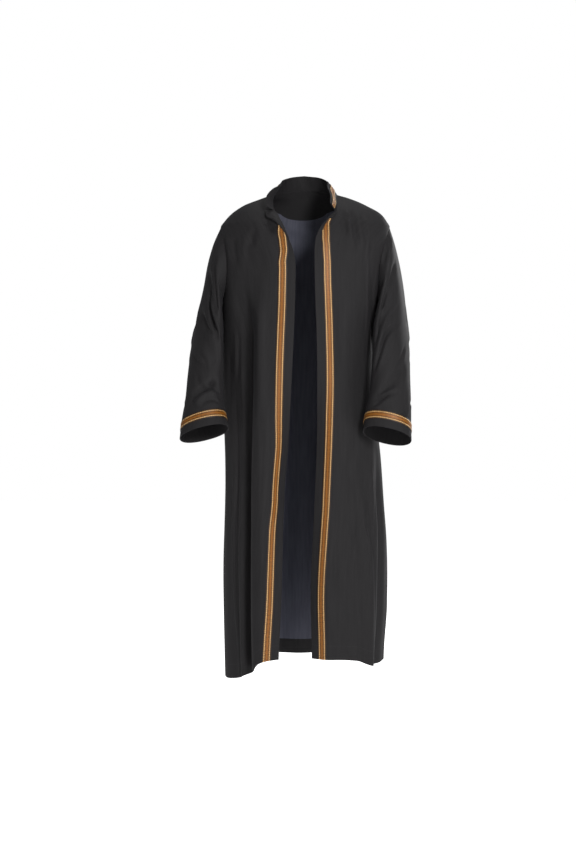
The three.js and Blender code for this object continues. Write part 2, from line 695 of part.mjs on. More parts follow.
function addSleeve(side) {
  const grid = sleeveGrid(side);
  const turned = side === "right";
  add(`sleeve_${side}`, wall([{ grid, turned }], clothWall, { wrap: true }), cloth());
  const band = grid.slice(sleeveRows - 2, sleeveRows);
  const laid = wall([{ grid: band, turned }], braidWall, {
    wrap: true,
    lift: seamGap + braidWall,
  });
  add(`braid_cuff_${side}`, laid, braid());
}

function addCollar() {
  const grid = collarGrid();
  add("collar", wall([{ grid, turned: true }], collarWall, { lift: collarWall / 2 }), cloth());
  const band = grid.slice(1, 3);
  const lift = collarWall / 2 + seamGap + braidWall;
  add("braid_collar", wall([{ grid: band, turned: true }], braidWall, { lift }), braid());
}

addBack();
for (const side of ["right", "left"]) {
  addFront(side);
  addSleeve(side);
}
addCollar();

export default thobe;
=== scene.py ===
import math

import bpy
import numpy as np
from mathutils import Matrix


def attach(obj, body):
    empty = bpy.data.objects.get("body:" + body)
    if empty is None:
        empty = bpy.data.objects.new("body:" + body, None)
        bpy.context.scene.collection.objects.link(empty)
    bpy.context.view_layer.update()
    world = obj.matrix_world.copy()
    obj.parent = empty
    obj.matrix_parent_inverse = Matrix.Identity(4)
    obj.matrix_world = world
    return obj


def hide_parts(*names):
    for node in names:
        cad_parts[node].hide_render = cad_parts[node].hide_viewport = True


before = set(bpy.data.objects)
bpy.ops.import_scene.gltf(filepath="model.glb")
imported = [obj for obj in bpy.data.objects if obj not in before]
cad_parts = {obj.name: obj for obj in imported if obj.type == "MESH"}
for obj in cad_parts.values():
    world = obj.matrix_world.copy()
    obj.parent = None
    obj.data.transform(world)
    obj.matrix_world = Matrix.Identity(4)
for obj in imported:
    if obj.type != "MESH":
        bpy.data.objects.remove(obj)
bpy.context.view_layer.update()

# A black thobe with gold braid, open down the front, in the hollow form it has when it is worn.
# It is worked out in millimetres, +Z up, the front facing -Y and the wearer's left +X.
# A place on the body is a turn in degrees (0 centre front, 90 wearer's left, 180 centre back)
# and a height. Each panel is a fine grid of such places, made into a thin cloth wall.


def readTable(table, column, at):  # a column between its rows, on a curve that never overshoots
    x, y = np.array(table["at"], float), np.array(table[column], float)
    slope = np.diff(y) / np.diff(x)
    bend = np.zeros_like(y)
    bend[0], bend[-1] = slope[0], slope[-1]
    before, after = slope[:-1], slope[1:]
    alike = before * after > 0
    total = np.where(alike, before + after, 1)
    bend[1:-1] = np.where(alike, 2 * before * after / total, 0)
    at = np.clip(at, x[0], x[-1])
    i = np.clip(np.searchsorted(x, at) - 1, 0, len(x) - 2)
    step = x[i + 1] - x[i]
    t = (at - x[i]) / step
    return (
        y[i] * (1 + 2 * t) * (1 - t) ** 2
        + y[i + 1] * t * t * (3 - 2 * t)
        + bend[i] * step * t * (1 - t) ** 2
        - bend[i + 1] * step * t * t * (1 - t)
    )


def readSides(table, onRight, at):  # the right column where onRight says so, else the left one
    return np.where(onRight, readTable(table, "right", at), readTable(table, "left", at))


def smoothStep(start, end, value):
    share = np.clip((value - start) / (end - start), 0, 1)
    return share * share * (3 - 2 * share)


def mix(a, b, share):
    return a + (b - a) * share


def signedPower(value, power):
    return np.sign(value) * np.abs(value) ** power


def unit(vectors):
    return vectors / np.maximum(np.linalg.norm(vectors, axis=-1, keepdims=True), 1e-9)


def curveThrough(points, perSpan):  # a smooth curve through each line of points
    first = 2 * points[..., :1, :] - points[..., 1:2, :]
    last = 2 * points[..., -1:, :] - points[..., -2:-1, :]
    held = np.concatenate([first, points, last], axis=-2)
    a, b, c, d = (held[..., k : k + points.shape[-2] - 1, :] for k in range(4))
    gap = [np.sqrt(np.linalg.norm(q - p, axis=-1, keepdims=True)) for p, q in ((a, b), (b, c), (c, d))]
    leave = ((b - a) / gap[0] - (c - a) / (gap[0] + gap[1]) + (c - b) / gap[1]) * gap[1]
    arrive = ((c - b) / gap[1] - (d - b) / (gap[1] + gap[2]) + (d - c) / gap[2]) * gap[1]
    t = np.linspace(0, 1, perSpan, endpoint=False).reshape(-1, 1)
    b, c, leave, arrive = (v[..., None, :] for v in (b, c, leave, arrive))
    spans = (
        b * (1 + 2 * t) * (1 - t) ** 2
        + c * t * t * (3 - 2 * t)
        + leave * t * (1 - t) ** 2
        - arrive * t * t * (1 - t)
    )
    spans = spans.reshape(*points.shape[:-2], -1, 3)
    return np.concatenate([spans, points[..., -1:, :]], axis=-2)


def lengthsAlong(points, axis):  # running length along one axis of a grid
    step = np.linalg.norm(np.diff(points, axis=axis), axis=-1)
    start = np.zeros_like(np.take(step, [0], axis=axis))
    return np.concatenate([start, np.cumsum(step, axis=axis)], axis=axis)


def paired(u, v):  # places on the cut cloth, in mm
    return np.stack([u, v], axis=-1).reshape(-1, 2)


def gridQuads(rows, columns, start=0):
    i = np.arange(rows - 1)[:, None] * columns + np.arange(columns - 1)[None, :] + start
    return np.stack([i, i + 1, i + columns + 1, i + columns], axis=-1).reshape(-1, 4)


def vertexNormals(points, quads):
    a, b, c, d = (points[quads[:, k]] for k in range(4))
    facing = np.cross(c - a, d - b)
    normals = np.zeros_like(points)
    for k in range(4):
        np.add.at(normals, quads[:, k], facing)
    return unit(normals)


def facedOut(points, quads, outward):  # quads turned to face outwards, and their normals
    normals = vertexNormals(points, quads)
    if (normals * outward).sum() < 0:
        return quads[:, ::-1], -normals
    return quads, normals


signs = {"right": -1, "left": 1}  # of x on the wearer's two sides

# what a side view shows across and up, and where it is seen from
views = {"front": (0, 2, (0, -1, 0)), "back": (0, 2, (0, 1, 0)),
         "left": (1, 2, (1, 0, 0)), "right": (1, 2, (-1, 0, 0))}

crease = {
    "perSpan": 7,  # places between two points of a drawn path
    "reach": 3.2,  # half widths within which it moves the cloth
    "lip": 0.35,  # share of its height that the cloth beside it gives way
    "lipAway": 1.8,  # half widths to the lip
    "lipWidth": 1.2,
    "grows": 0.3,  # share of its length over which it begins
    "fades": 0.62,  # share of its length after which it ends
}


def laidOn(points, normals, seenFrom, path):  # a path drawn as seen from one side, on the cloth
    across, up, facing = views[seenFrom]
    near = np.where(normals @ np.array(facing, float) > 0.12)[0]  # leaves out cloth seen edge on
    flat = points[near][:, [across, up]]
    line = curveThrough(np.array([(x, 0, z) for x, z in path], float), crease["perSpan"])[:, [0, 2]]
    found = [near[np.argmin(((flat - place) ** 2).sum(axis=1))] for place in line]
    laid = points[found]
    for _ in range(3):  # evens out the steps from point to point
        laid[1:-1] = (laid[:-2] + 2 * laid[1:-1] + laid[2:]) / 4
    return laid


def creaseOut(points, normals, creases):  # how far the creases move each point out
    out = np.zeros(len(points))
    for seenFrom, width, height, path in creases:
        line = laidOn(points, normals, seenFrom, path)
        low, high = line.min(axis=0) - crease["reach"] * width, line.max(axis=0) + crease["reach"] * width
        near = np.where(((points > low) & (points < high)).all(axis=1))[0]
        here = points[near]
        best, share, side = np.full(len(near), 1e9), np.zeros(len(near)), np.zeros(len(near))
        for k in range(len(line) - 1):
            run = line[k + 1] - line[k]
            t = np.clip((here - line[k]) @ run / max(run @ run, 1e-9), 0, 1)
            off = here - (line[k] + t[:, None] * run)
            away = np.linalg.norm(off, axis=1)
            closer = away < best
            best[closer] = away[closer]
            share[closer] = ((k + t) / (len(line) - 1))[closer]
            turned = (np.cross(run, off) * normals[near]).sum(axis=1)
            side[closer] = np.sign(turned)[closer]
        fade = smoothStep(0, crease["grows"], share) * (1 - smoothStep(crease["fades"], 1, share))
        hump = np.exp(-((best / width) ** 2))
        lip = np.exp(-(((side * best / width - crease["lipAway"]) / crease["lipWidth"]) ** 2))
        out[near] += height * fade * (hump - crease["lip"] * lip)
    return out


def ripple(u, v, seed, across, down, size):  # slow unevenness of hanging cloth
    chance = np.random.default_rng(seed)
    out = 0
    for _ in range(8):  # waves of unlike lengths and leans
        width, height = across * chance.uniform(0.6, 1.7), down * chance.uniform(0.6, 1.7)
        lean, phase = chance.uniform(-1, 1), chance.uniform(0, 6.28)
        out = out + np.sin(6.28 * (u / width + lean * v / height) + phase)
    return size * out / 3


def linear(hexColour):  # sRGB hex to linear
    parts = [int(hexColour[k : k + 2], 16) / 255 for k in (1, 3, 5)]
    return [p / 12.92 if p <= 0.04045 else ((p + 0.055) / 1.055) ** 2.4 for p in parts] + [1]


def addNode(tree, kind, settings=None, links=None):  # a link comes from a socket or a node's first
    node = tree.nodes.new(kind)
    for name, value in (settings or {}).items():
        if isinstance(name, int) or name in node.inputs:
            node.inputs[name].default_value = value
        else:
            setattr(node, name, value)
    for name, source in (links or {}).items():
        tree.links.new(getattr(source, "outputs", [source])[0], node.inputs[name])
    return node


def newMaterial(name, surface):
    material = bpy.data.materials.new(name)
    material.use_nodes = True
    tree = material.node_tree
    tree.nodes.clear()
    shader = addNode(tree, "ShaderNodeBsdfPrincipled", surface)
    addNode(tree, "ShaderNodeOutputMaterial", links={"Surface": shader.outputs[0]})
    place = addNode(tree, "ShaderNodeUVMap", {"uv_map": "cloth"})
    return material, tree, shader, place


def paintRamp(tree, source, stops, interpolation="LINEAR"):
    ramp = addNode(tree, "ShaderNodeValToRGB", links={0: source})
    ramp.color_ramp.interpolation = interpolation
    while len(ramp.color_ramp.elements) < len(stops):
        ramp.color_ramp.elements.new(0.5)
    for element, (where, colour) in zip(ramp.color_ramp.elements, stops):
        element.position = where
        element.color = linear(colour)
    return ramp.outputs[0]


crepe = {
    "deep": "#191819",
    "lit": "#201f20",
    "wrongDeep": "#3b3c46",
    "wrongLit": "#484953",
    "thread": "#242324",
    "slub": (7, 90),  # mm across and along, the faint streaks of uneven yarn
    "grain": 2.4,  # mm; crepe yarns are 0.3 mm apart, drawn coarser so that the grain shows
    "stitch": 3.2,  # mm, one stitch and its space
    "hem": 38,  # mm from the edge to the hem's stitching
    "neckFacing": (150, 84),  # mm from the nape to the facing's edge, sideways and down
    "nape": (0.5, 1.328, 0),  # where the middle of the back neck lies on the cut piece
    "roughness": 0.72,
    "bloom": 0.02,  # sheen of the loose fibres
}


# Polyester crepe, woven from tightly twisted yarn and dyed black: it looks matt and dry, with a
# fine pebbled grain, faint upright streaks where the yarn is uneven, and a little bloom where
# it curves away. Its wrong side is paler, because the yarn floats there.
def clothMaterial(name, deep, lit, faced=False):
    material, tree, shader, place = newMaterial(
        name,
        {"Roughness": crepe["roughness"], "IOR": 1.5, "Specular IOR Level": 0.12,
         "Sheen Weight": crepe["bloom"], "Sheen Roughness": 0.5, "Sheen Tint": linear("#c8c8d2")},
    )
    across, along = crepe["slub"]
    streaks = addNode(tree, "ShaderNodeMapping", {"Scale": (1000 / across, 1000 / along, 1)},
                      {"Vector": place})
    slub = addNode(tree, "ShaderNodeTexNoise", {"Scale": 1.0, "Detail": 3.0, "Roughness": 0.55},
                   {"Vector": streaks})
    grainScale = 1000 / crepe["grain"]
    grain = addNode(tree, "ShaderNodeTexNoise", {"Scale": grainScale, "Detail": 2.0}, {"Vector": place})
    weave = addNode(tree, "ShaderNodeTexVoronoi", {"Scale": grainScale * 0.8, "Randomness": 0.6},
                    {"Vector": place})
    blend = addNode(tree, "ShaderNodeMath", {"operation": "MULTIPLY_ADD", 1: 0.3}, {0: grain, 2: slub})
    colour = paintRamp(tree, blend, [(0.42, deep), (0.95, lit)])
    if faced:  # a black facing inside the back of the neck
        wide, tall = crepe["neckFacing"]
        fromNape = addNode(tree, "ShaderNodeVectorMath", {"operation": "SUBTRACT", 1: crepe["nape"]},
                           {0: place})
        scaled = addNode(tree, "ShaderNodeVectorMath",
                         {"operation": "MULTIPLY", 1: (1000 / wide, 1000 / tall, 0)}, {0: fromNape})
        reach = addNode(tree, "ShaderNodeVectorMath", {"operation": "LENGTH"}, {0: scaled})
        within = addNode(tree, "ShaderNodeMath", {"operation": "LESS_THAN", 1: 1.0}, {0: reach.outputs[1]})
        colour = addNode(tree, "ShaderNodeMix", {"data_type": "RGBA", 7: linear(crepe["deep"])},
                         {0: within, 6: colour}).outputs[2]

    # a row of stitches above the hem
    apart = addNode(tree, "ShaderNodeSeparateXYZ", links={0: place})
    fromHem = addNode(tree, "ShaderNodeMath", {"operation": "COMPARE", 1: crepe["hem"] / 1000, 2: 0.0006},
                      {0: apart.outputs[1]})
    count = addNode(tree, "ShaderNodeMath", {"operation": "MULTIPLY", 1: 1000 / crepe["stitch"]}, {0: apart})
    part = addNode(tree, "ShaderNodeMath", {"operation": "FRACT"}, {0: count})
    thread = addNode(tree, "ShaderNodeMath", {"operation": "LESS_THAN", 1: 0.68}, {0: part})
    stitches = addNode(tree, "ShaderNodeMath", {"operation": "MULTIPLY"}, {0: fromHem, 1: thread})
    threaded = addNode(tree, "ShaderNodeMix", {"data_type": "RGBA", 7: linear(crepe["thread"])},
                       {0: stitches, 6: colour})
    tree.links.new(threaded.outputs[2], shader.inputs["Base Color"])

    relief = addNode(tree, "ShaderNodeMath", {"operation": "MULTIPLY_ADD", 1: 0.5}, {0: grain, 2: weave})
    raised = addNode(tree, "ShaderNodeMath", {"operation": "MULTIPLY_ADD", 1: 2.0}, {0: stitches, 2: relief})
    bump = addNode(tree, "ShaderNodeBump", {"Strength": 0.35, "Distance": 0.0004}, {"Height": raised})
    tree.links.new(bump.outputs[0], shader.inputs["Normal"])
    rough = addNode(tree, "ShaderNodeMapRange", {3: crepe["roughness"] - 0.08, 4: crepe["roughness"] + 0.1},
                    {0: slub})
    tree.links.new(rough.outputs[0], shader.inputs["Roughness"])
    return material


braid = {
    "width": 24,
    "wall": 0.9,
    "lift": 0.3,  # mm above the cloth
    "step": 0.9,  # mm between the points along it
    "border": 5.9,  # mm from the edge to the inner side of the pale cord
    "picot": 2.9,  # mm, the dark looped edge outside the cord
    "loop": 6.0,  # mm from one picot to the next; 2.5 mm in truth, drawn coarser so that they show
    "repeat": 12.0,  # mm, one lozenge
    "strand": 6.0,  # mm; the cord's strands are 1 mm, drawn coarser so that they show
    "bulge": 0.75,  # mm that a picot stands out at the edge
    "rimRoll": 0.1,
    "pale": "#dcb276",
    # a darker gold: painted shade in the hollows between the cord's strands, and also the colour of the
    # picots' loops
    "cordShadeAndLoops": "#5a3510",
    "brown": "#5f3606",
    "brownLit": "#835012",
    "brownDeep": "#301a03",
    "dark": "#140d08",
    # its cross section from the edge to the middle: mm across, height above its plain face
    "section": [(0, -0.4), (0.6, -0.2), (1.6, -0.15), (2.8, -0.05), (3.4, 0.36), (4.4, 0.55),
                (5.4, 0.36), (6.0, 0), (7.6, -0.05), (9.8, 0.05), (12, 0.12)],
}


# Woven braid of viscose and metallised yarn: satin gold cords down both edges, a browner
# middle with a chain of lozenges, and a dark looped picot. The metallised yarn gives it a
# soft broken glint.
def braidMaterial():
    material, tree, shader, place = newMaterial(
        "viscoseLurexBraidWoven",
        {"Roughness": 0.5, "Metallic": 0.15, "IOR": 1.5, "Specular IOR Level": 0.35},
    )
    scaled = addNode(tree, "ShaderNodeMapping", {"Scale": (1000, 1000, 1)}, {"Vector": place})
    apart = addNode(tree, "ShaderNodeSeparateXYZ", links={0: scaled})  # mm across and along
    along = apart.outputs[1]
    half = braid["width"] / 2
    centred = addNode(tree, "ShaderNodeMath", {"operation": "SUBTRACT", 1: half}, {0: apart})
    fromMiddle = addNode(tree, "ShaderNodeMath", {"operation": "ABSOLUTE"}, {0: centred})
    share = addNode(tree, "ShaderNodeMath", {"operation": "DIVIDE", 1: half}, {0: fromMiddle})
    zones = paintRamp(
        tree, share,
        [(0, braid["brownLit"]), (0.1, braid["brown"]),
         (1 - (braid["border"] + 0.9) / half, braid["brownDeep"]),
         (1 - braid["border"] / half, braid["pale"]), (1 - braid["picot"] / half, braid["dark"])],
        "CONSTANT")

    # the chain of lozenges down the middle
    run = addNode(tree, "ShaderNodeMath", {"operation": "PINGPONG", 1: braid["repeat"] / 2}, {0: along})
    outline = addNode(tree, "ShaderNodeMath", {"operation": "ADD"}, {0: fromMiddle, 1: run})
    ring = addNode(tree, "ShaderNodeMath", {"operation": "COMPARE", 1: braid["repeat"] * 0.4, 2: 0.9},
                   {0: outline})
    inMiddle = addNode(tree, "ShaderNodeMath", {"operation": "LESS_THAN", 1: half - braid["border"] - 1.2},
                       {0: fromMiddle})
    lozenge = addNode(tree, "ShaderNodeMath", {"operation": "MULTIPLY"}, {0: ring, 1: inMiddle})

    # twisted strands of the cords, with painted shade in the hollows between the strands, and the picots'
    # loops with cloth between them
    slant = addNode(tree, "ShaderNodeMath", {"operation": "MULTIPLY_ADD", 1: 0.9}, {0: fromMiddle, 2: along})
    strand = addNode(tree, "ShaderNodeMath", {"operation": "PINGPONG", 1: braid["strand"] / 2}, {0: slant})
    twist = addNode(tree, "ShaderNodeMath", {"operation": "DIVIDE", 1: braid["strand"] / 2}, {0: strand})
    beyond = addNode(tree, "ShaderNodeMath", {"operation": "GREATER_THAN", 1: half - braid["border"]},
                     {0: fromMiddle})
    within = addNode(tree, "ShaderNodeMath", {"operation": "LESS_THAN", 1: half - braid["picot"]},
                     {0: fromMiddle})
    inCord = addNode(tree, "ShaderNodeMath", {"operation": "MULTIPLY"}, {0: beyond, 1: within})
    hollow = addNode(tree, "ShaderNodeMath", {"operation": "SUBTRACT", 0: 1.0}, {1: twist})
    shade = addNode(tree, "ShaderNodeMath", {"operation": "MULTIPLY"}, {0: hollow, 1: inCord})
    loop = addNode(tree, "ShaderNodeMath", {"operation": "PINGPONG", 1: braid["loop"] / 2}, {0: along})
    dot = addNode(tree, "ShaderNodeMath", {"operation": "GREATER_THAN", 1: braid["loop"] * 0.43}, {0: loop})
    inPicot = addNode(tree, "ShaderNodeMath", {"operation": "GREATER_THAN", 1: half - braid["picot"]},
                      {0: fromMiddle})
    looped = addNode(tree, "ShaderNodeMath", {"operation": "MULTIPLY"}, {0: dot, 1: inPicot})

    lit = addNode(tree, "ShaderNodeMix", {"data_type": "RGBA", 7: linear(braid["brownLit"])},
                  {0: lozenge, 6: zones})
    # painted shade: the cord's colour is darkened in the hollows between its strands
    corded = addNode(tree, "ShaderNodeMix", {"data_type": "RGBA", 7: linear(braid["cordShadeAndLoops"])},
                     {0: shade, 6: lit.outputs[2]})
    edged = addNode(tree, "ShaderNodeMix", {"data_type": "RGBA", 7: linear(braid["cordShadeAndLoops"])},
                    {0: looped, 6: corded.outputs[2]})
    yarn = addNode(tree, "ShaderNodeMapping", {"Scale": (0.6, 0.3, 1)}, {"Vector": scaled})
    uneven = addNode(tree, "ShaderNodeTexNoise", {"Scale": 1.0, "Detail": 3.0}, {"Vector": yarn})
    tone = addNode(tree, "ShaderNodeMapRange", {1: 0.3, 2: 0.7, 3: 0.4, 4: 1.4}, {0: uneven})
    toned = addNode(tree, "ShaderNodeMix", {"data_type": "RGBA", "blend_type": "MULTIPLY", 0: 1.0},
                    {6: edged.outputs[2], 7: tone})
    tree.links.new(toned.outputs[2], shader.inputs["Base Color"])

    cords = addNode(tree, "ShaderNodeMath", {"operation": "MULTIPLY"}, {0: twist, 1: inCord})
    figured = addNode(tree, "ShaderNodeMath", {"operation": "MULTIPLY_ADD", 1: 0.8}, {0: lozenge, 2: cords})
    raised = addNode(tree, "ShaderNodeMath", {"operation": "MULTIPLY_ADD", 1: 0.6}, {0: uneven, 2: figured})
    bump = addNode(tree, "ShaderNodeBump", {"Strength": 0.6, "Distance": 0.0004}, {"Height": raised})
    tree.links.new(bump.outputs[0], shader.inputs["Normal"])
    return material


rightSide = clothMaterial("polyesterCrepeBlackWoven", crepe["deep"], crepe["lit"])
wrongSide = clothMaterial("polyesterCrepeWrongSide", crepe["wrongDeep"], crepe["wrongLit"], faced=True)
bothSides = [rightSide, wrongSide]
goldBraid = braidMaterial()
print("stage: materials made")


# A closed cloth wall: the outer and inner faces, and a rim along every free edge. roll is how far
# the middle of the rim stands out, in mm, at each point.
def makeWall(name, paints, outer, inner, quads, uv, innerPaint, roll):
    count = len(outer)
    edges = np.concatenate([quads[:, [k, (k + 1) % 4]] for k in range(4)])
    edges = edges[edges[:, 0] != edges[:, 1]]
    known = set(map(tuple, edges))
    rim = np.array([(a, b) for a, b in known if (b, a) not in known])
    rim = rim[np.lexsort((rim[:, 1], rim[:, 0]))]
    normals = unit(outer - inner)
    sideways = np.zeros_like(outer)
    for k in range(2):
        np.add.at(sideways, rim[:, k],
                  unit(np.cross(outer[rim[:, 1]] - outer[rim[:, 0]], normals[rim[:, k]])))
    sideways = unit(sideways)
    rimPoints = np.unique(rim)
    middle = (outer + inner) / 2 + sideways * roll[:, None]
    newIndex = np.full(count, -1)
    newIndex[rimPoints] = 2 * count + np.arange(len(rimPoints))
    a, b = rim[:, 0], rim[:, 1]
    rimTop = np.stack([b, a, newIndex[a], newIndex[b]], axis=-1)
    rimLow = np.stack([newIndex[b], newIndex[a], a + count, b + count], axis=-1)
    faces = np.concatenate([quads, quads[:, ::-1] + count, rimTop, rimLow])
    points = np.concatenate([outer, inner, middle[rimPoints]]) / 1000
    places = np.concatenate([uv, uv, uv[rimPoints]]) / 1000
    paint = np.zeros(len(faces), int)
    paint[len(quads) : 2 * len(quads)] = innerPaint

    listed, kept = [], []
    for k, face in enumerate(faces.tolist()):  # leaves out faces that have shrunk to a line
        corners = [v for i, v in enumerate(face) if v != face[i - 1]]
        if len(set(corners)) > 2:
            listed.append(corners)
            kept.append(k)
    mesh = bpy.data.meshes.new(name)
    mesh.from_pydata(points.tolist(), [], listed)
    layer = mesh.uv_layers.new(name="cloth")
    loops = np.array([v for corners in listed for v in corners])
    layer.data.foreach_set("uv", places[loops].astype(np.float32).ravel())
    mesh.polygons.foreach_set("material_index", paint[kept].astype(np.int32))
    mesh.polygons.foreach_set("use_smooth", np.ones(len(listed), bool))
    for material in paints:
        mesh.materials.append(material)
    mesh.update()
    piece = bpy.data.objects.new(name, mesh)
    bpy.context.scene.collection.objects.link(piece)
    return piece


def standFor(piece, node):
    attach(piece, "root")
    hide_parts(node)
    return piece


# What makeWall needs for a panel: thicker where isDoubled says that the cloth is turned in, and
# with a rolled rim except on its seams.
def panelWall(points, normals, quads, uv, isDoubled, *toSeams):
    inner = points - normals * (body["wall"] + np.where(isDoubled(uv), body["turning"], 0))[:, None]
    paint = np.where(isDoubled(uv[quads].mean(axis=1)), 0, 1)
    away = np.minimum(*(np.ravel(distance) for distance in toSeams))
    return points, inner, quads, uv, paint, np.where(away < body["onSeam"], 0.0, body["rimRoll"])


body = {
    "wall": 1.5,
    "turning": 0.4,  # what a turned-in layer adds to the wall
    "rimRoll": 0.45,
    "power": 2.2,  # of the rings' curve: 2 is an ellipse
    "underarm": -300,
    "shoulderTip": -95,
    "armholeFront": 25,
    "armholeBack": 32,
    "braidTop": -82,
    "hemDeep": 40,  # the turned-up hem inside
    "hemLevel": -1300,  # the hem's usual height, where a fold has its last turn
    "facing": 52,  # the folded-in strip inside each front edge
    "seamDip": 0.8,  # mm that a seam draws the cloth in
    "seamWidth": 2.5,
    "onSeam": 0.5,  # mm from a seam within which a rim is sewn
    "rings": {  # half widths on the wearer's right and left, half depths, by height
        "at": [-1360, -1280, -1150, -980, -820, -740, -660, -580, -480, -370, -300,
               -240, -180, -130, -95, -78, -56, -34, -22, -11, 0, 20],
        "right": [214, 216, 219, 221, 221, 222, 225, 229, 231, 230.5, 230,
                  233, 237, 239, 235, 224, 204, 171, 143, 115, 89, 78],
        "left": [213, 215, 224, 226, 219, 214, 206, 199, 195, 200, 207,
                 220, 231, 238, 239, 230, 211, 175, 150, 121, 89, 78],
        "front": [152, 152, 150, 147, 145, 144, 144, 144, 144, 146, 147,
                  144, 137, 125, 111, 100, 83, 60, 43, 26, 10, 6],
        "back": [152, 150, 146, 139, 133, 131, 128, 124, 119, 117, 118,
                 118, 115, 109, 103, 100, 96, 91, 88, 85, 82, 74],
        # how far the arms push the sides back
        "swept": [0, 0, 0, 0, 0, 6, 16, 24, 22, 12, 0] + [0] * 11,
    },
    "frontEdge": {
        "at": [-1360, -1270, -1120, -850, -634, -380, -300, -214, -174, -143, -125,
               -107, -90, -68, -58, -40, 0],
        "right": [76, 74, 67, 62, 45, 30, 27, 26, 32, 43, 50, 58, 65, 75, 84, 88, 89],
        "left": [20, 20, 17, 28, 36, 31, 28, 26, 26, 29, 34, 43, 56, 73, 84, 89, 89],
    },
    "backNeck": {"at": [0, 10, 17, 20], "across": [89, 67, 37, 0]},
    "hem": {
        "at": [-180, -140, -110, -85, -66, -51, -47.5, -43.5, -40.5, -33, -26, -18, 0, 22, 40, 53,
               68, 95, 140, 180],
        "z": [-1304, -1308, -1328, -1351, -1344, -1328, -1313, -1310, -1316, -1295, -1287, -1284,
              -1283, -1284, -1289, -1304, -1307, -1297, -1301, -1304],
    },
    # turn at the top, turn at the hem, half width, rise, where it starts and where it is full
    "folds": [
        (-57, -58, 24, 9, -600, -900),
        (-50, -49, 34, -14, -180, -420),
        (-38, -41, 26, 9, -500, -860),
        (-74, -72, 24, -10, -650, -1000),
        (-98, -94, 30, 9, -720, -1100),
        (-25, -24, 38, 5, -300, -700),
        (38, 52, 22, 9, -700, -980),
        (60, 54, 22, 8, -700, -940),
        (68, 67, 26, -13, -640, -900),
        (26, 24, 60, -5, -640, -1050),
        (96, 90, 30, 8, -780, -1100),
        (114, 110, 30, -11, -420, -900),
        (128, 130, 32, 15, -230, -780),
        (148, 146, 28, -13, -260, -840),
        (163, 161, 30, 13, -200, -900),
        (178, 181, 30, -12, -330, -820),
        (-164, -160, 32, 15, -180, -760),
        (-146, -142, 28, -13, -300, -900),
        (-130, -126, 32, 14, -230, -800),
        (-111, -106, 28, -12, -420, -980),
    ],
    # finer ones of the same kind
    "softFolds": [
        (-29, -31, 18, 8, -230, -420),
        (-44, -51, 15, -7, -210, -400),
        (-56, -55, 12, 7, -300, -520),
        (-66, -64, 12, -6, -380, -640),
    ],
    # where the right front falls back beside its main fold: the turns where it leaves the fold,
    # is lowest, starts to rise and is level again, its depth, the heights where it begins, and
    # how far it has moved round by the hem
    "fallBack": (30, 43, 52, 87, 26, -240, -420, 6),
    # each front turns in beside its edge: over how many mm, how gently in mm, up to which turn
    # on the body, and by how many degrees at each height
    "edgeReach": 40,
    "edgeEase": 5,
    "edgeWithin": 60,
    "edgeTurn": {
        "at": [-1360, -1120, -942, -850, -724, -634, -520, -420, -300, 20],
        "right": [24, 30, 38, 48, 48, 38, 24, 10, 0, 0],
        "left": [43, 42, 37, 34, 34, 31, 14, 0, 0, 0],
    },
    "trim": {
        "at": [-200, -160, -128, -107, -92, -70],
        "rightBand": [23, 10, 3, 2.5, 2.5, 2.5],
        "leftBand": [23, 20, 13, 9, 6, 4],
        "rightBraid": [24, 24, 23, 14, 8, 5],
        "leftBraid": [24, 24, 23, 17, 9, 5],
    },
}


def ringPoint(turn, z):
    turn, z = np.broadcast_arrays(np.asarray(turn, float), np.asarray(z, float))
    wrapped = np.radians((turn + 180) % 360 - 180)
    across, ahead = np.sin(wrapped), np.cos(wrapped)
    rings = body["rings"]
    half = readSides(rings, across < 0, z)
    depth = np.where(ahead > 0, readTable(rings, "front", z), readTable(rings, "back", z))
    x = half * signedPower(across, 2 / body["power"])
    y = readTable(rings, "swept", z) * across**2 - depth * signedPower(ahead, 2 / body["power"])
    return np.stack([x, y, z], axis=-1)


def turnAcross(x, z, behind=False):
    half = readSides(body["rings"], x < 0, z)
    share = np.minimum(1, np.abs(x) / half) ** (body["power"] / 2)
    turn = np.degrees(np.arcsin(share))
    return np.where(x < 0, -1, 1) * ((180 - turn) if behind else turn)


def normalOf(surface, turn, z):
    tiny = 0.05
    alongTurn = surface(turn + tiny, z) - surface(turn - tiny, z)
    alongZ = surface(turn, z + tiny) - surface(turn, z - tiny)
    return unit(np.cross(alongTurn, alongZ))


def bodyFold(turn, z):
    turn, z = np.broadcast_arrays(np.asarray(turn, float), np.asarray(z, float))
    out = np.zeros(turn.shape)
    girth = readTable(body["rings"], "right", z)
    for atTop, atHem, spread, rise, top, full in body["folds"] + body["softFolds"]:
        centre = mix(atTop, atHem, np.clip((top - z) / (top - body["hemLevel"]), 0, 1))
        away = np.radians((turn - centre + 180) % 360 - 180) * girth
        out += rise * smoothStep(-top, -full, -z) * np.exp(-((away / spread) ** 2))
    leave, low, rise, level, deep, top, full, moved = body["fallBack"]
    leaves = smoothStep(leave, low, -turn - moved * smoothStep(-full, 850, -z))
    out -= deep * leaves * (1 - smoothStep(rise, level, -turn)) * smoothStep(-top, -full, -z)
    onRight = turn < 0
    turnIn = readSides(body["edgeTurn"], onRight, z)
    edge = readSides(body["frontEdge"], onRight, z)
    within = body["edgeReach"] + edge - np.abs(ringPoint(turn, z)[..., 0])
    eased = (within + np.hypot(within, 2 * body["edgeEase"])) / 2
    return out - np.where(np.abs(turn) < body["edgeWithin"], np.tan(np.radians(turnIn)) * eased, 0)


def bodyPoint(turn, z):
    return ringPoint(turn, z) + normalOf(ringPoint, turn, z) * bodyFold(turn, z)[..., None]


def armholeEdge(step, sign, behind):  # step 0 is the underarm and 1 the shoulder tip
    swing = math.pi * (1 - step)
    bite = np.where(behind, body["armholeBack"], -body["armholeFront"]) * np.sin(swing)
    low, high = body["underarm"], body["shoulderTip"]
    return sign * (90 + bite), (low + high) / 2 + (high - low) / 2 * np.cos(swing)


def hemAt(turn):
    return readTable(body["hem"], "z", turn)


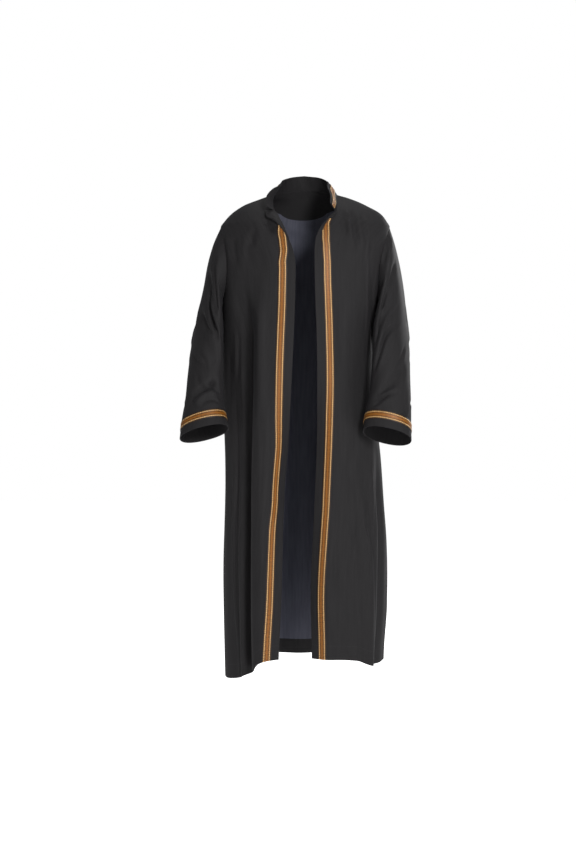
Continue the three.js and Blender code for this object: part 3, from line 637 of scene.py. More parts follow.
hangShares = np.r_[0, 0.0015, 0.004, np.linspace(0.008, 1, 186)]
armShares = np.r_[np.linspace(0, 1, 68)[1:-1], 0.994, 0.998, 1]
hanging = np.r_[np.ones(len(hangShares), bool), np.zeros(len(armShares), bool)]


def frontPlaces(side):  # turns and heights of a front's grid, and which columns the braid takes
    sign = signs[side]
    edges = body["frontEdge"]
    bottom = turnAcross(sign * edges[side][0], hemAt(0))
    edgeZ = np.r_[mix(hemAt(bottom), body["underarm"], hangShares), mix(body["underarm"], 0, armShares)]
    armTurn, armZ = armholeEdge(armShares, sign, False)
    rimTurn = np.r_[np.full(len(hangShares), sign * 90.0), armTurn]
    rimZ = np.r_[mix(hemAt(sign * 90), body["underarm"], hangShares), armZ]
    edge = turnAcross(sign * readTable(edges, side, edgeZ), edgeZ)
    swing = np.linspace(0, 34, 171)
    line = bodyPoint(edge[:, None] + sign * swing, np.repeat(edgeZ[:, None], len(swing), axis=1))
    gone = lengthsAlong(line, 1)
    band = readTable(body["trim"], side + "Band", edgeZ)
    shown = readTable(body["trim"], side + "Braid", edgeZ)
    reach = np.maximum(np.abs(rimTurn - edge), 1e-6)
    inner = np.array([np.interp(d, g, swing) for d, g in zip(band, gone)]) / reach
    outer = np.array([np.interp(d, g, swing) for d, g in zip(band + shown, gone)]) / reach
    easing = smoothStep(body["braidTop"] + 4, -55, edgeZ)
    inner = mix(np.minimum(inner, 0.4), 0.03, easing)
    outer = mix(np.minimum(outer, 0.6), 0.15, easing)
    bandShares = np.r_[0, 0.03, 0.1, np.linspace(0.22, 1, 7)]
    braidShares = np.linspace(0, 1, 9)[1:]
    restShares = np.r_[np.linspace(0, 1, 60)[1:-1], 0.989, 0.995, 1]
    at = np.concatenate(
        [inner[:, None] * bandShares, mix(inner[:, None], outer[:, None], braidShares),
         mix(outer[:, None], 1, restShares)], axis=1)
    turn = mix(edge[:, None], rimTurn[:, None], at)
    fall = mix(hemAt(turn), body["underarm"], np.r_[hangShares, np.ones(len(armShares))][:, None])
    z = np.where(hanging[:, None], fall, mix(edgeZ[:, None], rimZ[:, None], at))
    first = len(bandShares) - 1
    return turn, z, (first, first + len(braidShares)), shown


def seamDip(*distances):  # the cloth is drawn in along each seam
    return sum(-body["seamDip"] * np.exp(-((distance / body["seamWidth"]) ** 2)) for distance in distances)


# creases: the side they are drawn from, half width, height and path
fronts = {
    "flapLift": 1.2,  # mm that a flap stands off the panel at its fold
    "flapWall": 1.1,
    "flapRoll": 0.4,
    "flapCutAt": 700,  # mm, where it lies on the cut cloth
    "ripple": (130, 420, 1.3),  # mm across, down and high
    "right": {
        "seed": 11,
        "flaps": [
            [(-84, -57, -108, -57, 7), (-74, -68, -106, -75, 9), (-67, -84, -90, -85.5, 8),
             (-60, -98, -73.5, -99, 6), (-52, -117, -60, -117, 4), (-43.5, -137, -46.5, -138, 2.2)],
        ],
        "creases": [
            ("front", 6, -4, [(-224, -112), (-222, -160), (-219, -211)]),
            ("front", 9, -4, [(-197, -123), (-193, -170), (-186, -225)]),
            ("front", 10, -4.5, [(-142, -107), (-143, -140), (-144, -167)]),
            ("front", 11, -9, [(-117, -77), (-97, -102), (-81, -131)]),
            ("front", 8, 2.5, [(-165, -118), (-168, -170), (-162, -230)]),
            ("front", 5.5, 4.5, [(-190, -731), (-194, -820), (-197, -931), (-195, -1056),
                                 (-188, -1196), (-184, -1290)]),
            ("front", 8, -4, [(-208, -420), (-207, -520), (-205, -620)]),
            ("front", 5, 2.5, [(-193, -375), (-191, -450), (-192, -550)]),
            ("front", 9, -4, [(-170, -660), (-172, -800), (-174, -950), (-170, -1060)]),
            ("front", 7, -2.5, [(-120, -560), (-118, -760), (-124, -900)]),
            ("front", 6, 2, [(-100, -900), (-104, -1050), (-106, -1240)]),
        ],
    },
    "left": {
        "seed": 12,
        "flaps": [
            [(78, -66, 90, -56, 6), (73, -72, 84, -66, 5), (68, -80, 76, -80, 3)],
        ],
        "creases": [
            ("front", 7, -4.5, [(104, -46), (108, -90), (112, -150)]),
            ("front", 8, -5, [(127, -50), (137, -105), (148, -190)]),
            ("front", 6.5, -3.5, [(154, -66), (162, -105), (170, -165)]),
            ("front", 6, 2.5, [(116, -50), (123, -95), (131, -160)]),
            ("front", 5, 2.6, [(172, -70), (172, -200), (172, -330), (171, -467)]),
            ("front", 8, -3.5, [(190, -213), (188, -300), (187, -382), (187, -480)]),
            ("front", 5, 4.5, [(156, -820), (160, -909), (178, -983), (184, -1070), (184, -1204),
                               (178, -1277)]),
            ("front", 5, 4, [(184, -753), (186, -852), (186, -983)]),
            ("front", 9, -3, [(120, -640), (126, -800), (134, -960), (140, -1120)]),
            ("front", 7, -2.2, [(80, -900), (84, -1050), (82, -1220)]),
            ("front", 10, -2.5, [(100, -240), (96, -380), (102, -520)]),
        ],
    },
}


def axisOut(points):  # roughly outwards from the middle of the body
    return unit(points * np.array([1.0, 1.0, 0.0]))


# A corner of the front's facing, rolled out over the panel. Each row goes from the fold to the
# free edge, as seen from the front, and says how far the free edge stands off the panel.
def makeFlap(rows, points, normals):
    near = points[normals[:, 1] < -0.1]  # what faces the front
    folded = curveThrough(np.array([(a, b, 0) for a, b, *_ in rows], float), 6)
    free = curveThrough(np.array([(c, d, e) for _, _, c, d, e in rows], float), 6)
    shares = np.linspace(0, 1, 13)
    grid = []
    for (foldX, foldZ, _), (freeX, freeZ, lift) in zip(folded, free):
        x, z = mix(foldX, freeX, shares), mix(foldZ, freeZ, shares)
        under = [near[np.argmin((near[:, 0] - a) ** 2 + (near[:, 2] - b) ** 2), 1] for a, b in zip(x, z)]
        stand = mix(fronts["flapLift"], lift, (1 - (1 - shares) ** 2) ** 0.8)
        grid.append(np.stack([x, np.array(under) - stand, z], axis=-1))
    grid = np.array(grid)
    grid[1:-1, 1:, 1] = (grid[:-2, 1:, 1] + grid[1:-1, 1:, 1] * 2 + grid[2:, 1:, 1]) / 4
    flat = grid.reshape(-1, 3)
    quads, facing = facedOut(flat, gridQuads(*grid.shape[:2]), np.array([0, -1, 0]))
    uv = paired(lengthsAlong(grid, 1), lengthsAlong(grid, 0)) + fronts["flapCutAt"]
    return (flat, flat - facing * fronts["flapWall"], quads, uv, np.zeros(len(quads), int),
            np.full(len(flat), fronts["flapRoll"]))


def makeFront(side):
    sign = signs[side]
    turn, z, (braidFrom, braidTo), shown = frontPlaces(side)
    grid = bodyPoint(turn, z)
    rows, columns = turn.shape
    points = grid.reshape(-1, 3)
    quads, normals = facedOut(points, gridQuads(rows, columns), axisOut(points))
    u, v = lengthsAlong(grid, 1), lengthsAlong(grid, 0)
    toSeam = u[:, -1:] - u
    toShoulder = v[-1:] - v
    quiet = smoothStep(8, 60, u) * smoothStep(0, 40, toSeam) * smoothStep(0, 25, toShoulder)
    out = creaseOut(points, normals, fronts[side]["creases"]).reshape(rows, columns)
    out = out * smoothStep(0, 14, toSeam) * smoothStep(0, 12, toShoulder)
    out += ripple(u, v, fronts[side]["seed"], *fronts["ripple"]) * quiet
    out += seamDip(toSeam, toShoulder)
    points = points + normals * out.reshape(-1, 1)
    normals = vertexNormals(points, quads)
    parts = [panelWall(points, normals, quads, paired(u, v),
                       lambda at: (at[:, 1] < body["hemDeep"]) | (at[:, 0] < body["facing"]),
                       toSeam, toShoulder)]
    parts += [makeFlap(flap, points, normals) for flap in fronts[side]["flaps"]]
    start = 0
    for k, (flat, inner, quads, *others) in enumerate(parts):  # their quads count on from part to part
        parts[k] = flat, inner, quads + start, *others
        start += len(flat)
    piece = makeWall("cloth_front_" + side, bothSides, *(np.concatenate(column) for column in zip(*parts)))
    standFor(piece, "front_" + side)

    # the braid, on the front's own points
    shaped = points.reshape(rows, columns, 3)
    outward = normals.reshape(rows, columns, 3)
    top = int(np.argmax(z[:, 0] > body["braidTop"])) + 1
    part = slice(braidFrom, braidTo + 1)
    shares = np.linspace(0, 1, braidTo + 1 - braidFrom)
    acrossAt = mix(braid["width"] - shown[:top, None], braid["width"], shares[None, :])
    return piece, makeBraid("front_" + side, shaped[:top, part], outward[:top, part], acrossAt)


def braidAlong(name, points, normals, shape, band):  # a braid on some rows and columns of a grid
    strip, faced = (each.reshape(*shape, 3)[band].transpose(1, 0, 2) for each in (points, normals))
    acrossAt = np.tile(np.linspace(0, braid["width"], strip.shape[1]), (strip.shape[0], 1))
    return makeBraid(name, strip, faced, acrossAt)


def makeBraid(name, strip, faced, acrossAt):  # laid on a strip of the cloth's own points
    length = lengthsAlong(strip[:, strip.shape[1] // 2 : strip.shape[1] // 2 + 1], 0)[:, 0]
    along = np.arange(0, length[-1], braid["step"])
    place = np.interp(along, length, np.arange(len(length)))
    i = np.minimum(place.astype(int), len(length) - 2)
    f = (place - i)[:, None, None]
    strip = strip[i] * (1 - f) + strip[i + 1] * f
    faced = unit(faced[i] * (1 - f) + faced[i + 1] * f)
    acrossAt = acrossAt[i] * (1 - f[..., 0]) + acrossAt[i + 1] * f[..., 0]

    section = np.array(braid["section"])
    mirrored = np.stack([braid["width"] - section[-2::-1, 0], section[-2::-1, 1]], axis=-1)
    section = np.concatenate([section, mirrored])
    share = section[:, 0] / braid["width"] * (strip.shape[1] - 1)
    j = np.minimum(share.astype(int), strip.shape[1] - 2)
    g = (share - j)[None, :, None]
    base = strip[:, j] * (1 - g) + strip[:, j + 1] * g
    facing = unit(faced[:, j] * (1 - g) + faced[:, j + 1] * g)
    across = acrossAt[:, j] * (1 - g[..., 0]) + acrossAt[:, j + 1] * g[..., 0]

    sideways = unit(base[:, -1:] - base[:, :1])
    loops = braid["bulge"] * np.abs(np.sin(math.pi * along / braid["loop"]))
    reach = np.zeros(len(section))
    reach[0], reach[1], reach[-2], reach[-1] = -1, -0.6, 0.6, 1
    base = base + sideways * (loops[:, None] * reach[None, :])[..., None]
    outer = base + facing * (braid["lift"] + braid["wall"] + section[None, :, 1])[..., None]
    inner = base + facing * braid["lift"]
    flat = outer.reshape(-1, 3)
    quads, _ = facedOut(flat, gridQuads(*base.shape[:2]), facing.reshape(-1, 3))
    uv = paired(across, np.repeat(along[:, None], len(section), axis=1))
    piece = makeWall("trim_" + name, [goldBraid], flat, inner.reshape(-1, 3), quads, uv, 0,
                     np.full(len(flat), braid["rimRoll"]))
    return standFor(piece, "braid_" + name)


back = {
    "cutAt": 500,  # mm, where its middle lies on the cut cloth
    "napeShare": 6 / 11,  # the share of the way up from the underarm where the neck begins
    "seed": 21,
    "ripple": (140, 460, 1.4),
    "creases": [
        ("back", 10, -3.5, [(-150, -120), (-120, -190), (-80, -240)]),
        ("back", 11, -3.5, [(155, -125), (118, -205), (70, -262)]),
        ("back", 8, 2.5, [(-170, -150), (-150, -230), (-120, -300)]),
        ("back", 9, -3, [(-60, -70), (-20, -92), (30, -84), (66, -66)]),
        ("back", 12, -4, [(-30, -420), (-36, -560), (-30, -740), (-40, -900)]),
        ("back", 9, 3, [(40, -380), (46, -560), (40, -760)]),
        ("back", 10, -3.5, [(110, -500), (116, -680), (112, -860), (120, -1000)]),
        ("back", 8, 3, [(-120, -560), (-124, -740), (-118, -960), (-124, -1100)]),
        ("back", 5, 2.6, [(70, -800), (76, -960), (72, -1120), (80, -1270)]),
        ("back", 5, 2.4, [(-70, -820), (-66, -1000), (-72, -1200)]),
        ("left", 8, -3.5, [(40, -420), (46, -560), (40, -720)]),
        ("left", 6, 2.5, [(70, -560), (74, -760), (68, -980)]),
        ("right", 8, -3.5, [(44, -400), (50, -540), (44, -700)]),
        ("right", 6, 2.5, [(74, -600), (70, -820), (76, -1040)]),
    ],
}


def makeBack():
    napeShare = back["napeShare"]
    nape = body["backNeck"]["at"][-1]
    shares = np.r_[np.linspace(0, 1, 76)[:-1], 0.989, 0.995, 1]
    onNeck = armShares > napeShare
    neckZ = nape * (1 - np.clip((armShares - napeShare) / (1 - napeShare), 0, 1) ** 2)
    risingZ = mix(body["underarm"], nape, armShares / napeShare)
    flat = np.zeros(len(hangShares))
    halves, places = [], []
    for sign in (1, -1):
        armTurn, armZ = armholeEdge(armShares, sign, True)
        neckTurn = turnAcross(sign * readTable(body["backNeck"], "across", neckZ), neckZ, True)
        neckTurn[-1] = sign * 90
        startTurn = np.r_[flat + sign * 180.0, np.where(onNeck, neckTurn, sign * 180.0)]
        startZ = np.r_[flat, np.where(onNeck, neckZ, risingZ)]
        rimTurn, rimZ = np.r_[flat + sign * 90.0, armTurn], np.r_[flat, armZ]
        turn = mix(startTurn[:, None], rimTurn[:, None], shares)
        fall = mix(hemAt(turn), body["underarm"], np.r_[hangShares, np.ones(len(armShares))][:, None])
        z = np.where(hanging[:, None], fall, mix(startZ[:, None], rimZ[:, None], shares))
        grid = bodyPoint(turn, z)
        halves.append(grid.reshape(-1, 3))

        # places on the cut cloth, and how far each is from its seams
        across, down = lengthsAlong(grid, 1), lengthsAlong(grid, 0)
        toSeam, toShoulder = across[:, -1:] - across, down[-1:] - down
        under = len(hangShares) - 1
        down[under:] = down[under] + grid[under:, :, 2] - body["underarm"]
        places.append([each.ravel() for each in (grid[:, :1, 0] + sign * across, down, toSeam, toShoulder)])
    u, v, toSeam, toShoulder = (np.concatenate(pair) for pair in zip(*places))

    # the halves are one cloth below the neck
    rows, wide = len(hanging), len(shares)
    points = np.concatenate(halves)
    joined = len(hangShares) + int(np.argmax(onNeck))
    shared = np.arange(len(points))
    shared[rows * wide + np.arange(joined) * wide] = np.arange(joined) * wide
    quads = shared[np.concatenate([gridQuads(rows, wide), gridQuads(rows, wide, rows * wide)[:, ::-1]])]
    quads, normals = facedOut(points, quads, axisOut(points))

    out = creaseOut(points, normals, back["creases"])
    out = out * smoothStep(0, 14, toSeam) * smoothStep(0, 12, toShoulder)
    quiet = smoothStep(0, 40, toSeam) * smoothStep(0, 30, toShoulder)
    out += ripple(u, v, back["seed"], *back["ripple"]) * quiet
    out += seamDip(toSeam, toShoulder)
    points = (points + normals * out[:, None])[shared]
    normals = vertexNormals(points, quads)[shared]
    wall = panelWall(points, normals, quads, paired(u + back["cutAt"], v),
                     lambda at: at[:, 1] < body["hemDeep"], toSeam, toShoulder)
    return standFor(makeWall("cloth_back", bothSides, *wall), "back")


sleeves = {
    "cuffHem": 22,  # mm from the edge to the braid
    "turnedIn": 46,  # mm of cloth inside the cuff
    "cutAt": 1000,
    "spacing": 58,  # mm from ring to ring and round the sleeve, as the folds' widths take them
    "girth": 400,
    "around": 104,  # places round it
    "perRing": 20,
    "ripple": (120, 220, 1.1),
    "right": {
        "seed": 31,
        # outerX, outerZ, innerX, innerZ, y, skew, lean, half depth, pitch
        "rings": [
            (255, -140, 228, -310, 0, 8, 3, 73, 0), (270, -190, 230, -322, -3, 14, 6, 75, 0),
            (281, -250, 229, -340, -8, 19, 8, 74, 0), (293, -307, 227, -363, -14, 22, 8, 71, 0),
            (305, -370, 226, -402, -24, 22, 7, 67, 4), (317, -440, 225, -455, -38, 18, 5, 63, 9),
            (324, -512, 224, -514, -55, 10, 3, 59, 14), (328, -576, 223, -568, -77, 4, 0, 56, 18),
            (335, -634, 217, -613, -101, 0, 0, 54, 20), (340, -687, 207, -653, -122, 0, 0, 53, 21),
        ],
        # ring and turn at the start and at the end, half width, rise
        "folds": [
            (1.2, 60, 3.4, 96, 15, -8), (2.6, 40, 5.2, 118, 16, -6), (4.6, 35, 6.4, 110, 18, -5),
            (8.2, 60, 7.6, 120, 12, -9), (7.6, 120, 8.3, 150, 11, -7), (3.4, 240, 6.0, 290, 20, -5),
        ],
        "creases": [
            ("front", 4.5, -10, [(-256, -246), (-263, -316), (-249, -368), (-231, -415)]),
            ("front", 5, -5, [(-286, -324), (-267, -376), (-249, -404)]),
            ("front", 5, -3.5, [(-295, -434), (-278, -464), (-261, -492)]),
            ("front", 5, -3.5, [(-314, -445), (-286, -478), (-256, -503)]),
            ("front", 6, 5, [(-298, -606), (-288, -576), (-262, -558), (-240, -564), (-227, -584)]),
            ("front", 6, -5, [(-284, -596), (-262, -578), (-240, -580), (-228, -594)]),
            ("front", 4.5, 4, [(-273, -260), (-246, -350), (-233, -412), (-228, -520)]),
            ("front", 6, -3.5, [(-300, -500), (-284, -540), (-256, -566)]),
            ("front", 5, -3, [(-318, -560), (-300, -590), (-276, -604)]),
            ("right", 7, -4, [(30, -300), (10, -352), (-24, -392)]),
            ("right", 6, -3.5, [(24, -420), (-4, -462), (-40, -486)]),
            ("right", 6, 3, [(20, -356), (0, -404), (-34, -430)]),
            ("right", 5, -3, [(-40, -560), (-70, -590), (-110, -596)]),
            ("back", 7, -4, [(-246, -250), (-262, -310), (-268, -380)]),
            ("back", 6, -3.5, [(-300, -400), (-280, -450), (-256, -480)]),
            ("back", 6, 3, [(-286, -300), (-284, -360), (-270, -430)]),
        ],
    },
    "left": {
        "seed": 32,
        "rings": [
            (254, -140, 208, -310, -5, 12, 6, 72, 0), (266, -190, 203, -322, -9, 25, 9, 74, 0),
            (276, -250, 199, -340, -16, 29, 10, 73, 0), (283, -307, 193, -363, -26, 30, 10, 70, 0),
            (288, -368, 188.5, -402, -40, 28, 8, 66, 5), (291, -440, 186, -455, -58, 21, 5, 61, 12),
            (290, -512, 181, -515, -80, 12, 2, 57, 19), (289, -577, 174, -570, -103, 4, 0, 54, 23),
            (289, -636, 163, -619, -120, 1, 0, 52, 25), (288, -692, 157, -661, -136, 0, 0, 51, 25),
        ],
        "folds": [
            (1.0, 62, 3.2, 100, 14, -8), (2.0, 45, 4.6, 110, 15, -6), (7.0, 60, 8.4, 125, 15, -8),
            (3.4, 245, 5.6, 290, 20, -4),
        ],
        "creases": [
            ("front", 5, -6, [(239, -110), (226, -165), (214, -221)]),
            ("front", 5, -6, [(254, -184), (232, -280), (206, -377)]),
            ("front", 5, -6.5, [(239, -223), (217, -306), (197, -397), (188, -450)]),
            ("front", 5.5, -7, [(265, -358), (223, -400), (197, -469), (186, -516)]),
            ("front", 5, 4.5, [(262, -300), (226, -352), (205, -420), (192, -480)]),
            ("front", 5, 4, [(250, -240), (226, -300), (210, -352)]),
            ("front", 5.5, -5, [(236, -556), (200, -584), (178, -600)]),
            ("front", 5, 4, [(262, -540), (222, -560), (186, -574)]),
            ("front", 5, -3.5, [(280, -420), (262, -466), (240, -492)]),
            ("front", 5, -3, [(280, -600), (262, -618), (240, -624)]),
            ("left", 7, -4, [(24, -290), (0, -340), (-36, -380)]),
            ("left", 6, -3.5, [(14, -410), (-20, -452), (-60, -474)]),
            ("left", 6, 3, [(16, -346), (-10, -396), (-50, -420)]),
            ("left", 5, -3, [(-60, -560), (-96, -584), (-136, -590)]),
            ("back", 7, -4, [(226, -240), (244, -300), (250, -370)]),
            ("back", 6, -3.5, [(276, -380), (258, -430), (232, -462)]),
            ("back", 6, 3, [(262, -290), (262, -350), (246, -412)]),
        ],
    },
}


def cuffPoint(side, ring, swing):
    sign = signs[side]
    outerX, outerZ, innerX, innerZ, y, skew, lean, deep, pitch = ring
    outer = np.array([sign * outerX, y + skew, outerZ], float)
    inner = np.array([sign * innerX, y - skew, innerZ], float)
    across = (outer - inner) / 2
    upArm = unit(np.array([-across[2], 0, across[0]]))
    upArm = upArm if upArm[2] > 0 else -upArm
    lean, pitch = math.radians(lean), math.radians(pitch)
    ahead = np.array([-sign * math.sin(lean), -math.cos(lean), 0])
    ahead = ahead * math.cos(pitch) + upArm * math.sin(pitch)
    wide = signedPower(np.cos(swing), 2 / body["power"])[:, None]
    deepWise = deep * signedPower(np.sin(swing), 2 / body["power"])[:, None]
    return (outer + inner) / 2 + wide * across + deepWise * ahead


def sleeveFold(side, ring, turn):
    out = np.zeros(ring.shape)
    down, perDegree = sleeves["spacing"], sleeves["girth"] / 360
    for startRing, startTurn, endRing, endTurn, spread, rise in sleeves[side]["folds"]:
        run = np.array([(endRing - startRing) * down, (endTurn - startTurn) * perDegree])
        toA, toB = (ring - startRing) * down, (turn - startTurn) * perDegree
        held = np.clip((toA * run[0] + toB * run[1]) / (run @ run), 0, 1)
        away = np.hypot(toA - run[0] * held, toB - run[1] * held)
        out += rise * np.exp(-((away / spread) ** 2))
    return out


def makeSleeve(side):
    sign = signs[side]
    around, perRing = sleeves["around"], sleeves["perRing"]
    swing = math.pi + 2 * math.pi * np.arange(around) / around  # from the underarm seam round
    place = (swing / (2 * math.pi)) % 1
    behind = place > 0.5
    step = np.where(behind, 2 * place - 1, 1 - 2 * place)
    turn, z = armholeEdge(step, sign, behind)
    start = bodyPoint(turn, z) - normalOf(bodyPoint, turn, z) * body["seamDip"]
    own = np.stack([cuffPoint(side, ring, swing) for ring in sleeves[side]["rings"]], axis=1)
    lines = curveThrough(np.concatenate([start[:, None], own], axis=1), perRing)
    gone = lengthsAlong(lines, 1)
    fromCuff = gone[:, -1:] - gone
    low, hem = sleeves["cuffHem"] + braid["width"], sleeves["cuffHem"]
    main = np.r_[0, 0.003, 0.008, np.linspace(0.016, 1, 90)]
    band = np.linspace(0, 1, 9)[1:]
    tail = np.array([0.14, 0.32, 0.5, 0.68, 0.82, 0.91, 0.965, 1])
    rowNumber = np.r_[13 * main, 13 + band, 14 + tail]  # as many rows as the solid has
    grid, ring = [], []
    for line, far in zip(lines, fromCuff):
        distance = np.r_[mix(far[0], low, main**0.85), mix(low, hem, band), hem * (1 - tail)]
        back = far[::-1]
        grid.append(np.stack([np.interp(distance, back, line[::-1, k]) for k in range(3)], axis=-1))
        ring.append(np.interp(distance, back, np.arange(len(far))[::-1] / perRing))
    grid, ring = np.array(grid).transpose(1, 0, 2), np.array(ring).T
    nextPoint = np.roll(grid, -1, axis=1) - np.roll(grid, 1, axis=1)
    below = np.gradient(grid, axis=0)
    facing = unit(np.cross(nextPoint, below)) * sign
    fade = np.clip(np.minimum(1, rowNumber / 2) * np.minimum(1, (13 - rowNumber) / 2 + 0.35), 0, 1)
    fold = sleeveFold(side, ring, np.degrees(place * 2 * math.pi)[None, :]) * fade[:, None]
    grid = grid + facing * fold[..., None]

    grid = np.concatenate([grid, grid[:, :1]], axis=1)  # meets itself at the underarm seam
    rows, columns = grid.shape[:2]
    points = grid.reshape(-1, 3)
    middle = np.repeat(grid[:, :-1].mean(axis=1), columns, axis=0)
    quads, normals = facedOut(points, gridQuads(rows, columns), unit(points - middle))
    u, v = lengthsAlong(grid, 1), lengthsAlong(grid[::-1], 0)[::-1]
    toArmhole = v[:1] - v
    toSeam = np.minimum(u, u[:, -1:] - u)
    out = creaseOut(points, normals, sleeves[side]["creases"]).reshape(rows, columns)
    out = out * smoothStep(0, 14, toArmhole) * smoothStep(0, 10, toSeam) * smoothStep(40, 60, v)
    quiet = smoothStep(0, 40, toSeam) * smoothStep(0, 30, toArmhole) * smoothStep(0, 60, v)
    out += ripple(u, v, sleeves[side]["seed"], *sleeves["ripple"]) * quiet
    out += seamDip(toSeam) * smoothStep(0, 6, toArmhole)
    edge = seamNormals(normals.reshape(rows, columns, 3))
    points = points + edge.reshape(-1, 3) * out.reshape(-1, 1)
    normals = seamNormals(vertexNormals(points, quads).reshape(rows, columns, 3)).reshape(-1, 3)
    wall = panelWall(points, normals, quads, paired(u, v + sleeves["cutAt"]),
                     lambda at: at[:, 1] < sleeves["cutAt"] + sleeves["turnedIn"], toArmhole, toSeam)
    piece = standFor(makeWall("cloth_sleeve_" + side, bothSides, *wall), "sleeve_" + side)
    band = slice(len(main) - 1, len(main) + len(band))
    return piece, braidAlong("cuff_" + side, points, normals, (rows, columns), band)


def seamNormals(normals):  # the two edges that meet at a seam face the same way
    shared = unit(normals[:, 0] + normals[:, -1])
    normals = normals.copy()
    normals[:, 0] = normals[:, -1] = shared
    return normals


collar = {
    "wall": 2.4,
    "height": 42,
    "braidRise": 9,  # mm from the seam to the braid
    "frontEnd": -58,  # how low its seam reaches in front
    "clear": 7,  # steps of 2 mm at the right end that the braid leaves bare
    "cutAt": 2000,
    "seed": 41,
    "ripple": (70, 160, 0.8),
    "shape": {  # from the front end (0) to the nape (1): lean away from the neck, share of height
        "at": [0, 0.1, 0.2, 0.32, 0.45, 0.7, 1],
        "right": [58, 36, 2, -28, -38, -32, -17],
        "left": [-15, -28, -35, -38, -37, -32, -17],
        "tall": [0.7, 0.8, 0.88, 0.97, 1, 1, 1],
    },
}


def necklineCurve():
    halves = []
    nape = body["backNeck"]["at"][-1]
    for side, sign in signs.items():
        z = mix(collar["frontEnd"], 0, np.arange(8) / 7)
        turn = turnAcross(sign * readTable(body["frontEdge"], side, z), z)
        turn[-1] = sign * 90
        front = bodyPoint(turn, z)
        z = nape * (1 - (1 - np.arange(1, 18) / 17) ** 2)
        behind = bodyPoint(turnAcross(sign * readTable(body["backNeck"], "across", z), z, True), z)
        halves.append(np.concatenate([front, behind]))
    return curveThrough(np.concatenate([halves[0], halves[1][::-1][1:]]), 12)


def makeCollar():
    curve = necklineCurve()
    length = lengthsAlong(curve, 0)
    share = np.linspace(0, 1, 231)

    def at(where):
        where = np.clip(where, 0, 1) * length[-1]
        return np.stack([np.interp(where, length, curve[:, k]) for k in range(3)], axis=-1)

    base = at(share)
    run = unit(at(share + 1 / 34) - at(share - 1 / 34))  # as even as the solid's
    away = unit(np.stack([-run[:, 1], run[:, 0], 0 * run[:, 0]], axis=-1))
    stand = unit(np.cross(away, run))
    stand *= np.sign(stand[:, 2:])
    along = 1 - np.abs(2 * share - 1)
    right, left, tall = (readTable(collar["shape"], column, along) for column in ("right", "left", "tall"))
    lean = np.radians(np.where(share < 0.5, right, left))[:, None]
    up = stand * np.cos(lean) + away * np.sin(lean)
    outward = away * np.cos(lean) - stand * np.sin(lean)
    low, high = collar["braidRise"], collar["braidRise"] + braid["width"]
    rises = np.r_[-1, 1.5, 4, 6.5, np.linspace(low, high, 9), 35.5, 38, 40, 41.2, collar["height"]]
    grid = np.stack([base + up * rise * mix(1, tall[:, None], np.clip(rise / collar["braidRise"], 0, 1))
                     for rise in rises])
    rows, columns = grid.shape[:2]
    points = grid.reshape(-1, 3)
    quads, normals = facedOut(points, gridQuads(rows, columns), np.tile(outward, (rows, 1)))
    u, v = lengthsAlong(grid, 1), lengthsAlong(grid, 0)
    out = ripple(u, v, collar["seed"], *collar["ripple"]) * smoothStep(0, 25, v)
    points = points + normals * out.reshape(-1, 1)
    normals = vertexNormals(points, quads)
    thick = normals * collar["wall"] / 2
    piece = makeWall("cloth_collar", [rightSide], points + thick, points - thick, quads,
                     paired(u, v + collar["cutAt"]), 0, np.where(v.ravel() < body["onSeam"], 0.1, 0.8))
    standFor(piece, "collar")
    band = slice(4, 13), slice(collar["clear"], None)
    return piece, braidAlong("collar", points + thick, normals, (rows, columns), band)


made = {}
for side in signs:
    made["front_" + side], made["braid_front_" + side] = makeFront(side)
print("stage: fronts made")
made["back"] = makeBack()
print("stage: back made")
for side in signs:
    made["sleeve_" + side], made["braid_cuff_" + side] = makeSleeve(side)
print("stage: sleeves made")
made["collar"], made["braid_collar"] = makeCollar()
print("stage: collar made")


stage = {
    "floorHeight": -1.51,
    "paper": "#fdfdfd",
    "wall": 1.0,
    "room": 0.2,
    "glow": 0.85,  # the floor's own brightness, as of paper lit from below
    # where each light stands, what it is aimed at, its size across in m and its watts
    "lights": {
        "key": ((1.5, -3.7, 1.0), (0, 0, -0.7), 1.1, 172),
        "fill": ((-2.0, -3.6, 0.4), (0, 0, -0.7), 2.0, 4),
        "top": ((0.2, 0.6, 2.6), (0, 0, -0.4), 1.8, 40),
        "back": ((2.6, 3.2, 0.9), (0, 0, -0.7), 1.4, 70),
    },
    "lens": 62.5,
    "camera": (-0.046, -4.2, -0.666),
}


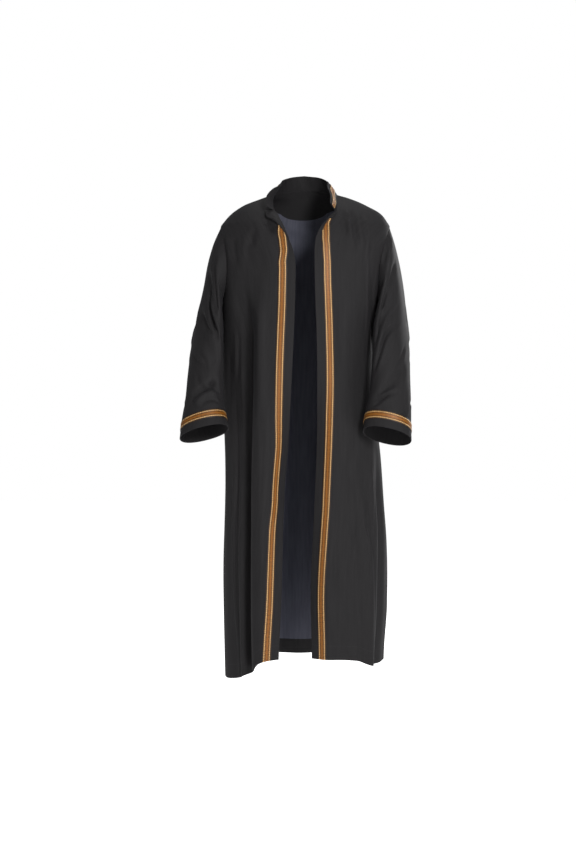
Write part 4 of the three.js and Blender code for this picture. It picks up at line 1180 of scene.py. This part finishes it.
# Matt studio paper, rolled out as the floor: even and almost white, so that shadows stay pale.
def paperMaterial():
    material, tree, shader, place = newMaterial(
        "paperMattRolled", {"Roughness": 0.95, "Specular IOR Level": 0.05, "Emission Color": (1, 1, 1, 1),
                            "Emission Strength": stage["glow"]})
    where = addNode(tree, "ShaderNodeTexCoord")
    fibre = addNode(tree, "ShaderNodeTexNoise", {"Scale": 60.0, "Detail": 2.0},
                    {"Vector": where.outputs["Object"]})
    tree.links.new(paintRamp(tree, fibre.outputs[0], [(0.3, "#fbfbfb"), (0.7, stage["paper"])]),
                   shader.inputs["Base Color"])
    return material


def makeFloor():
    spread = np.linspace(-14, 14, 15)
    grid = np.array([[(x, y, stage["floorHeight"]) for x in spread] for y in spread])
    mesh = bpy.data.meshes.new("floor")
    mesh.from_pydata(grid.reshape(-1, 3).tolist(), [], gridQuads(15, 15).tolist())
    mesh.materials.append(paperMaterial())
    floor = bpy.data.objects.new("floor", mesh)
    bpy.context.scene.collection.objects.link(floor)


def addLight(name, place, aim, size, watts):
    lamp = bpy.data.lights.new(name, "AREA")
    lamp.shape, lamp.size, lamp.energy = "DISK", size, watts
    light = bpy.data.objects.new(name, lamp)
    light.location = place
    x, y, z = np.array(aim) - np.array(place)
    light.rotation_euler = math.atan2(math.hypot(x, y), -z), 0, math.atan2(y, x) - math.pi / 2
    bpy.context.scene.collection.objects.link(light)


def makeStage():
    scene = bpy.context.scene
    makeFloor()
    world = bpy.data.worlds.new("studio")
    world.use_nodes = True
    # white walls all round, which light the robe no more than a dim room does
    tree = world.node_tree
    ray = addNode(tree, "ShaderNodeLightPath")
    brightness = addNode(tree, "ShaderNodeMapRange", {3: stage["room"], 4: stage["wall"]}, {0: ray})
    tree.links.new(brightness.outputs[0], tree.nodes["Background"].inputs[1])
    tree.nodes["Background"].inputs[0].default_value = (1, 1, 1, 1)
    scene.world = world
    for name, settings in stage["lights"].items():
        addLight(name, *settings)
    lens = bpy.data.cameras.new("camera")
    lens.lens, lens.sensor_width = stage["lens"], 36
    camera = bpy.data.objects.new("camera", lens)
    camera.location = stage["camera"]
    camera.rotation_euler = (math.pi / 2, 0, 0)
    scene.collection.objects.link(camera)
    scene.camera = camera
    scene.view_settings.view_transform = "Standard"


makeStage()
print("stage: lights and camera set")
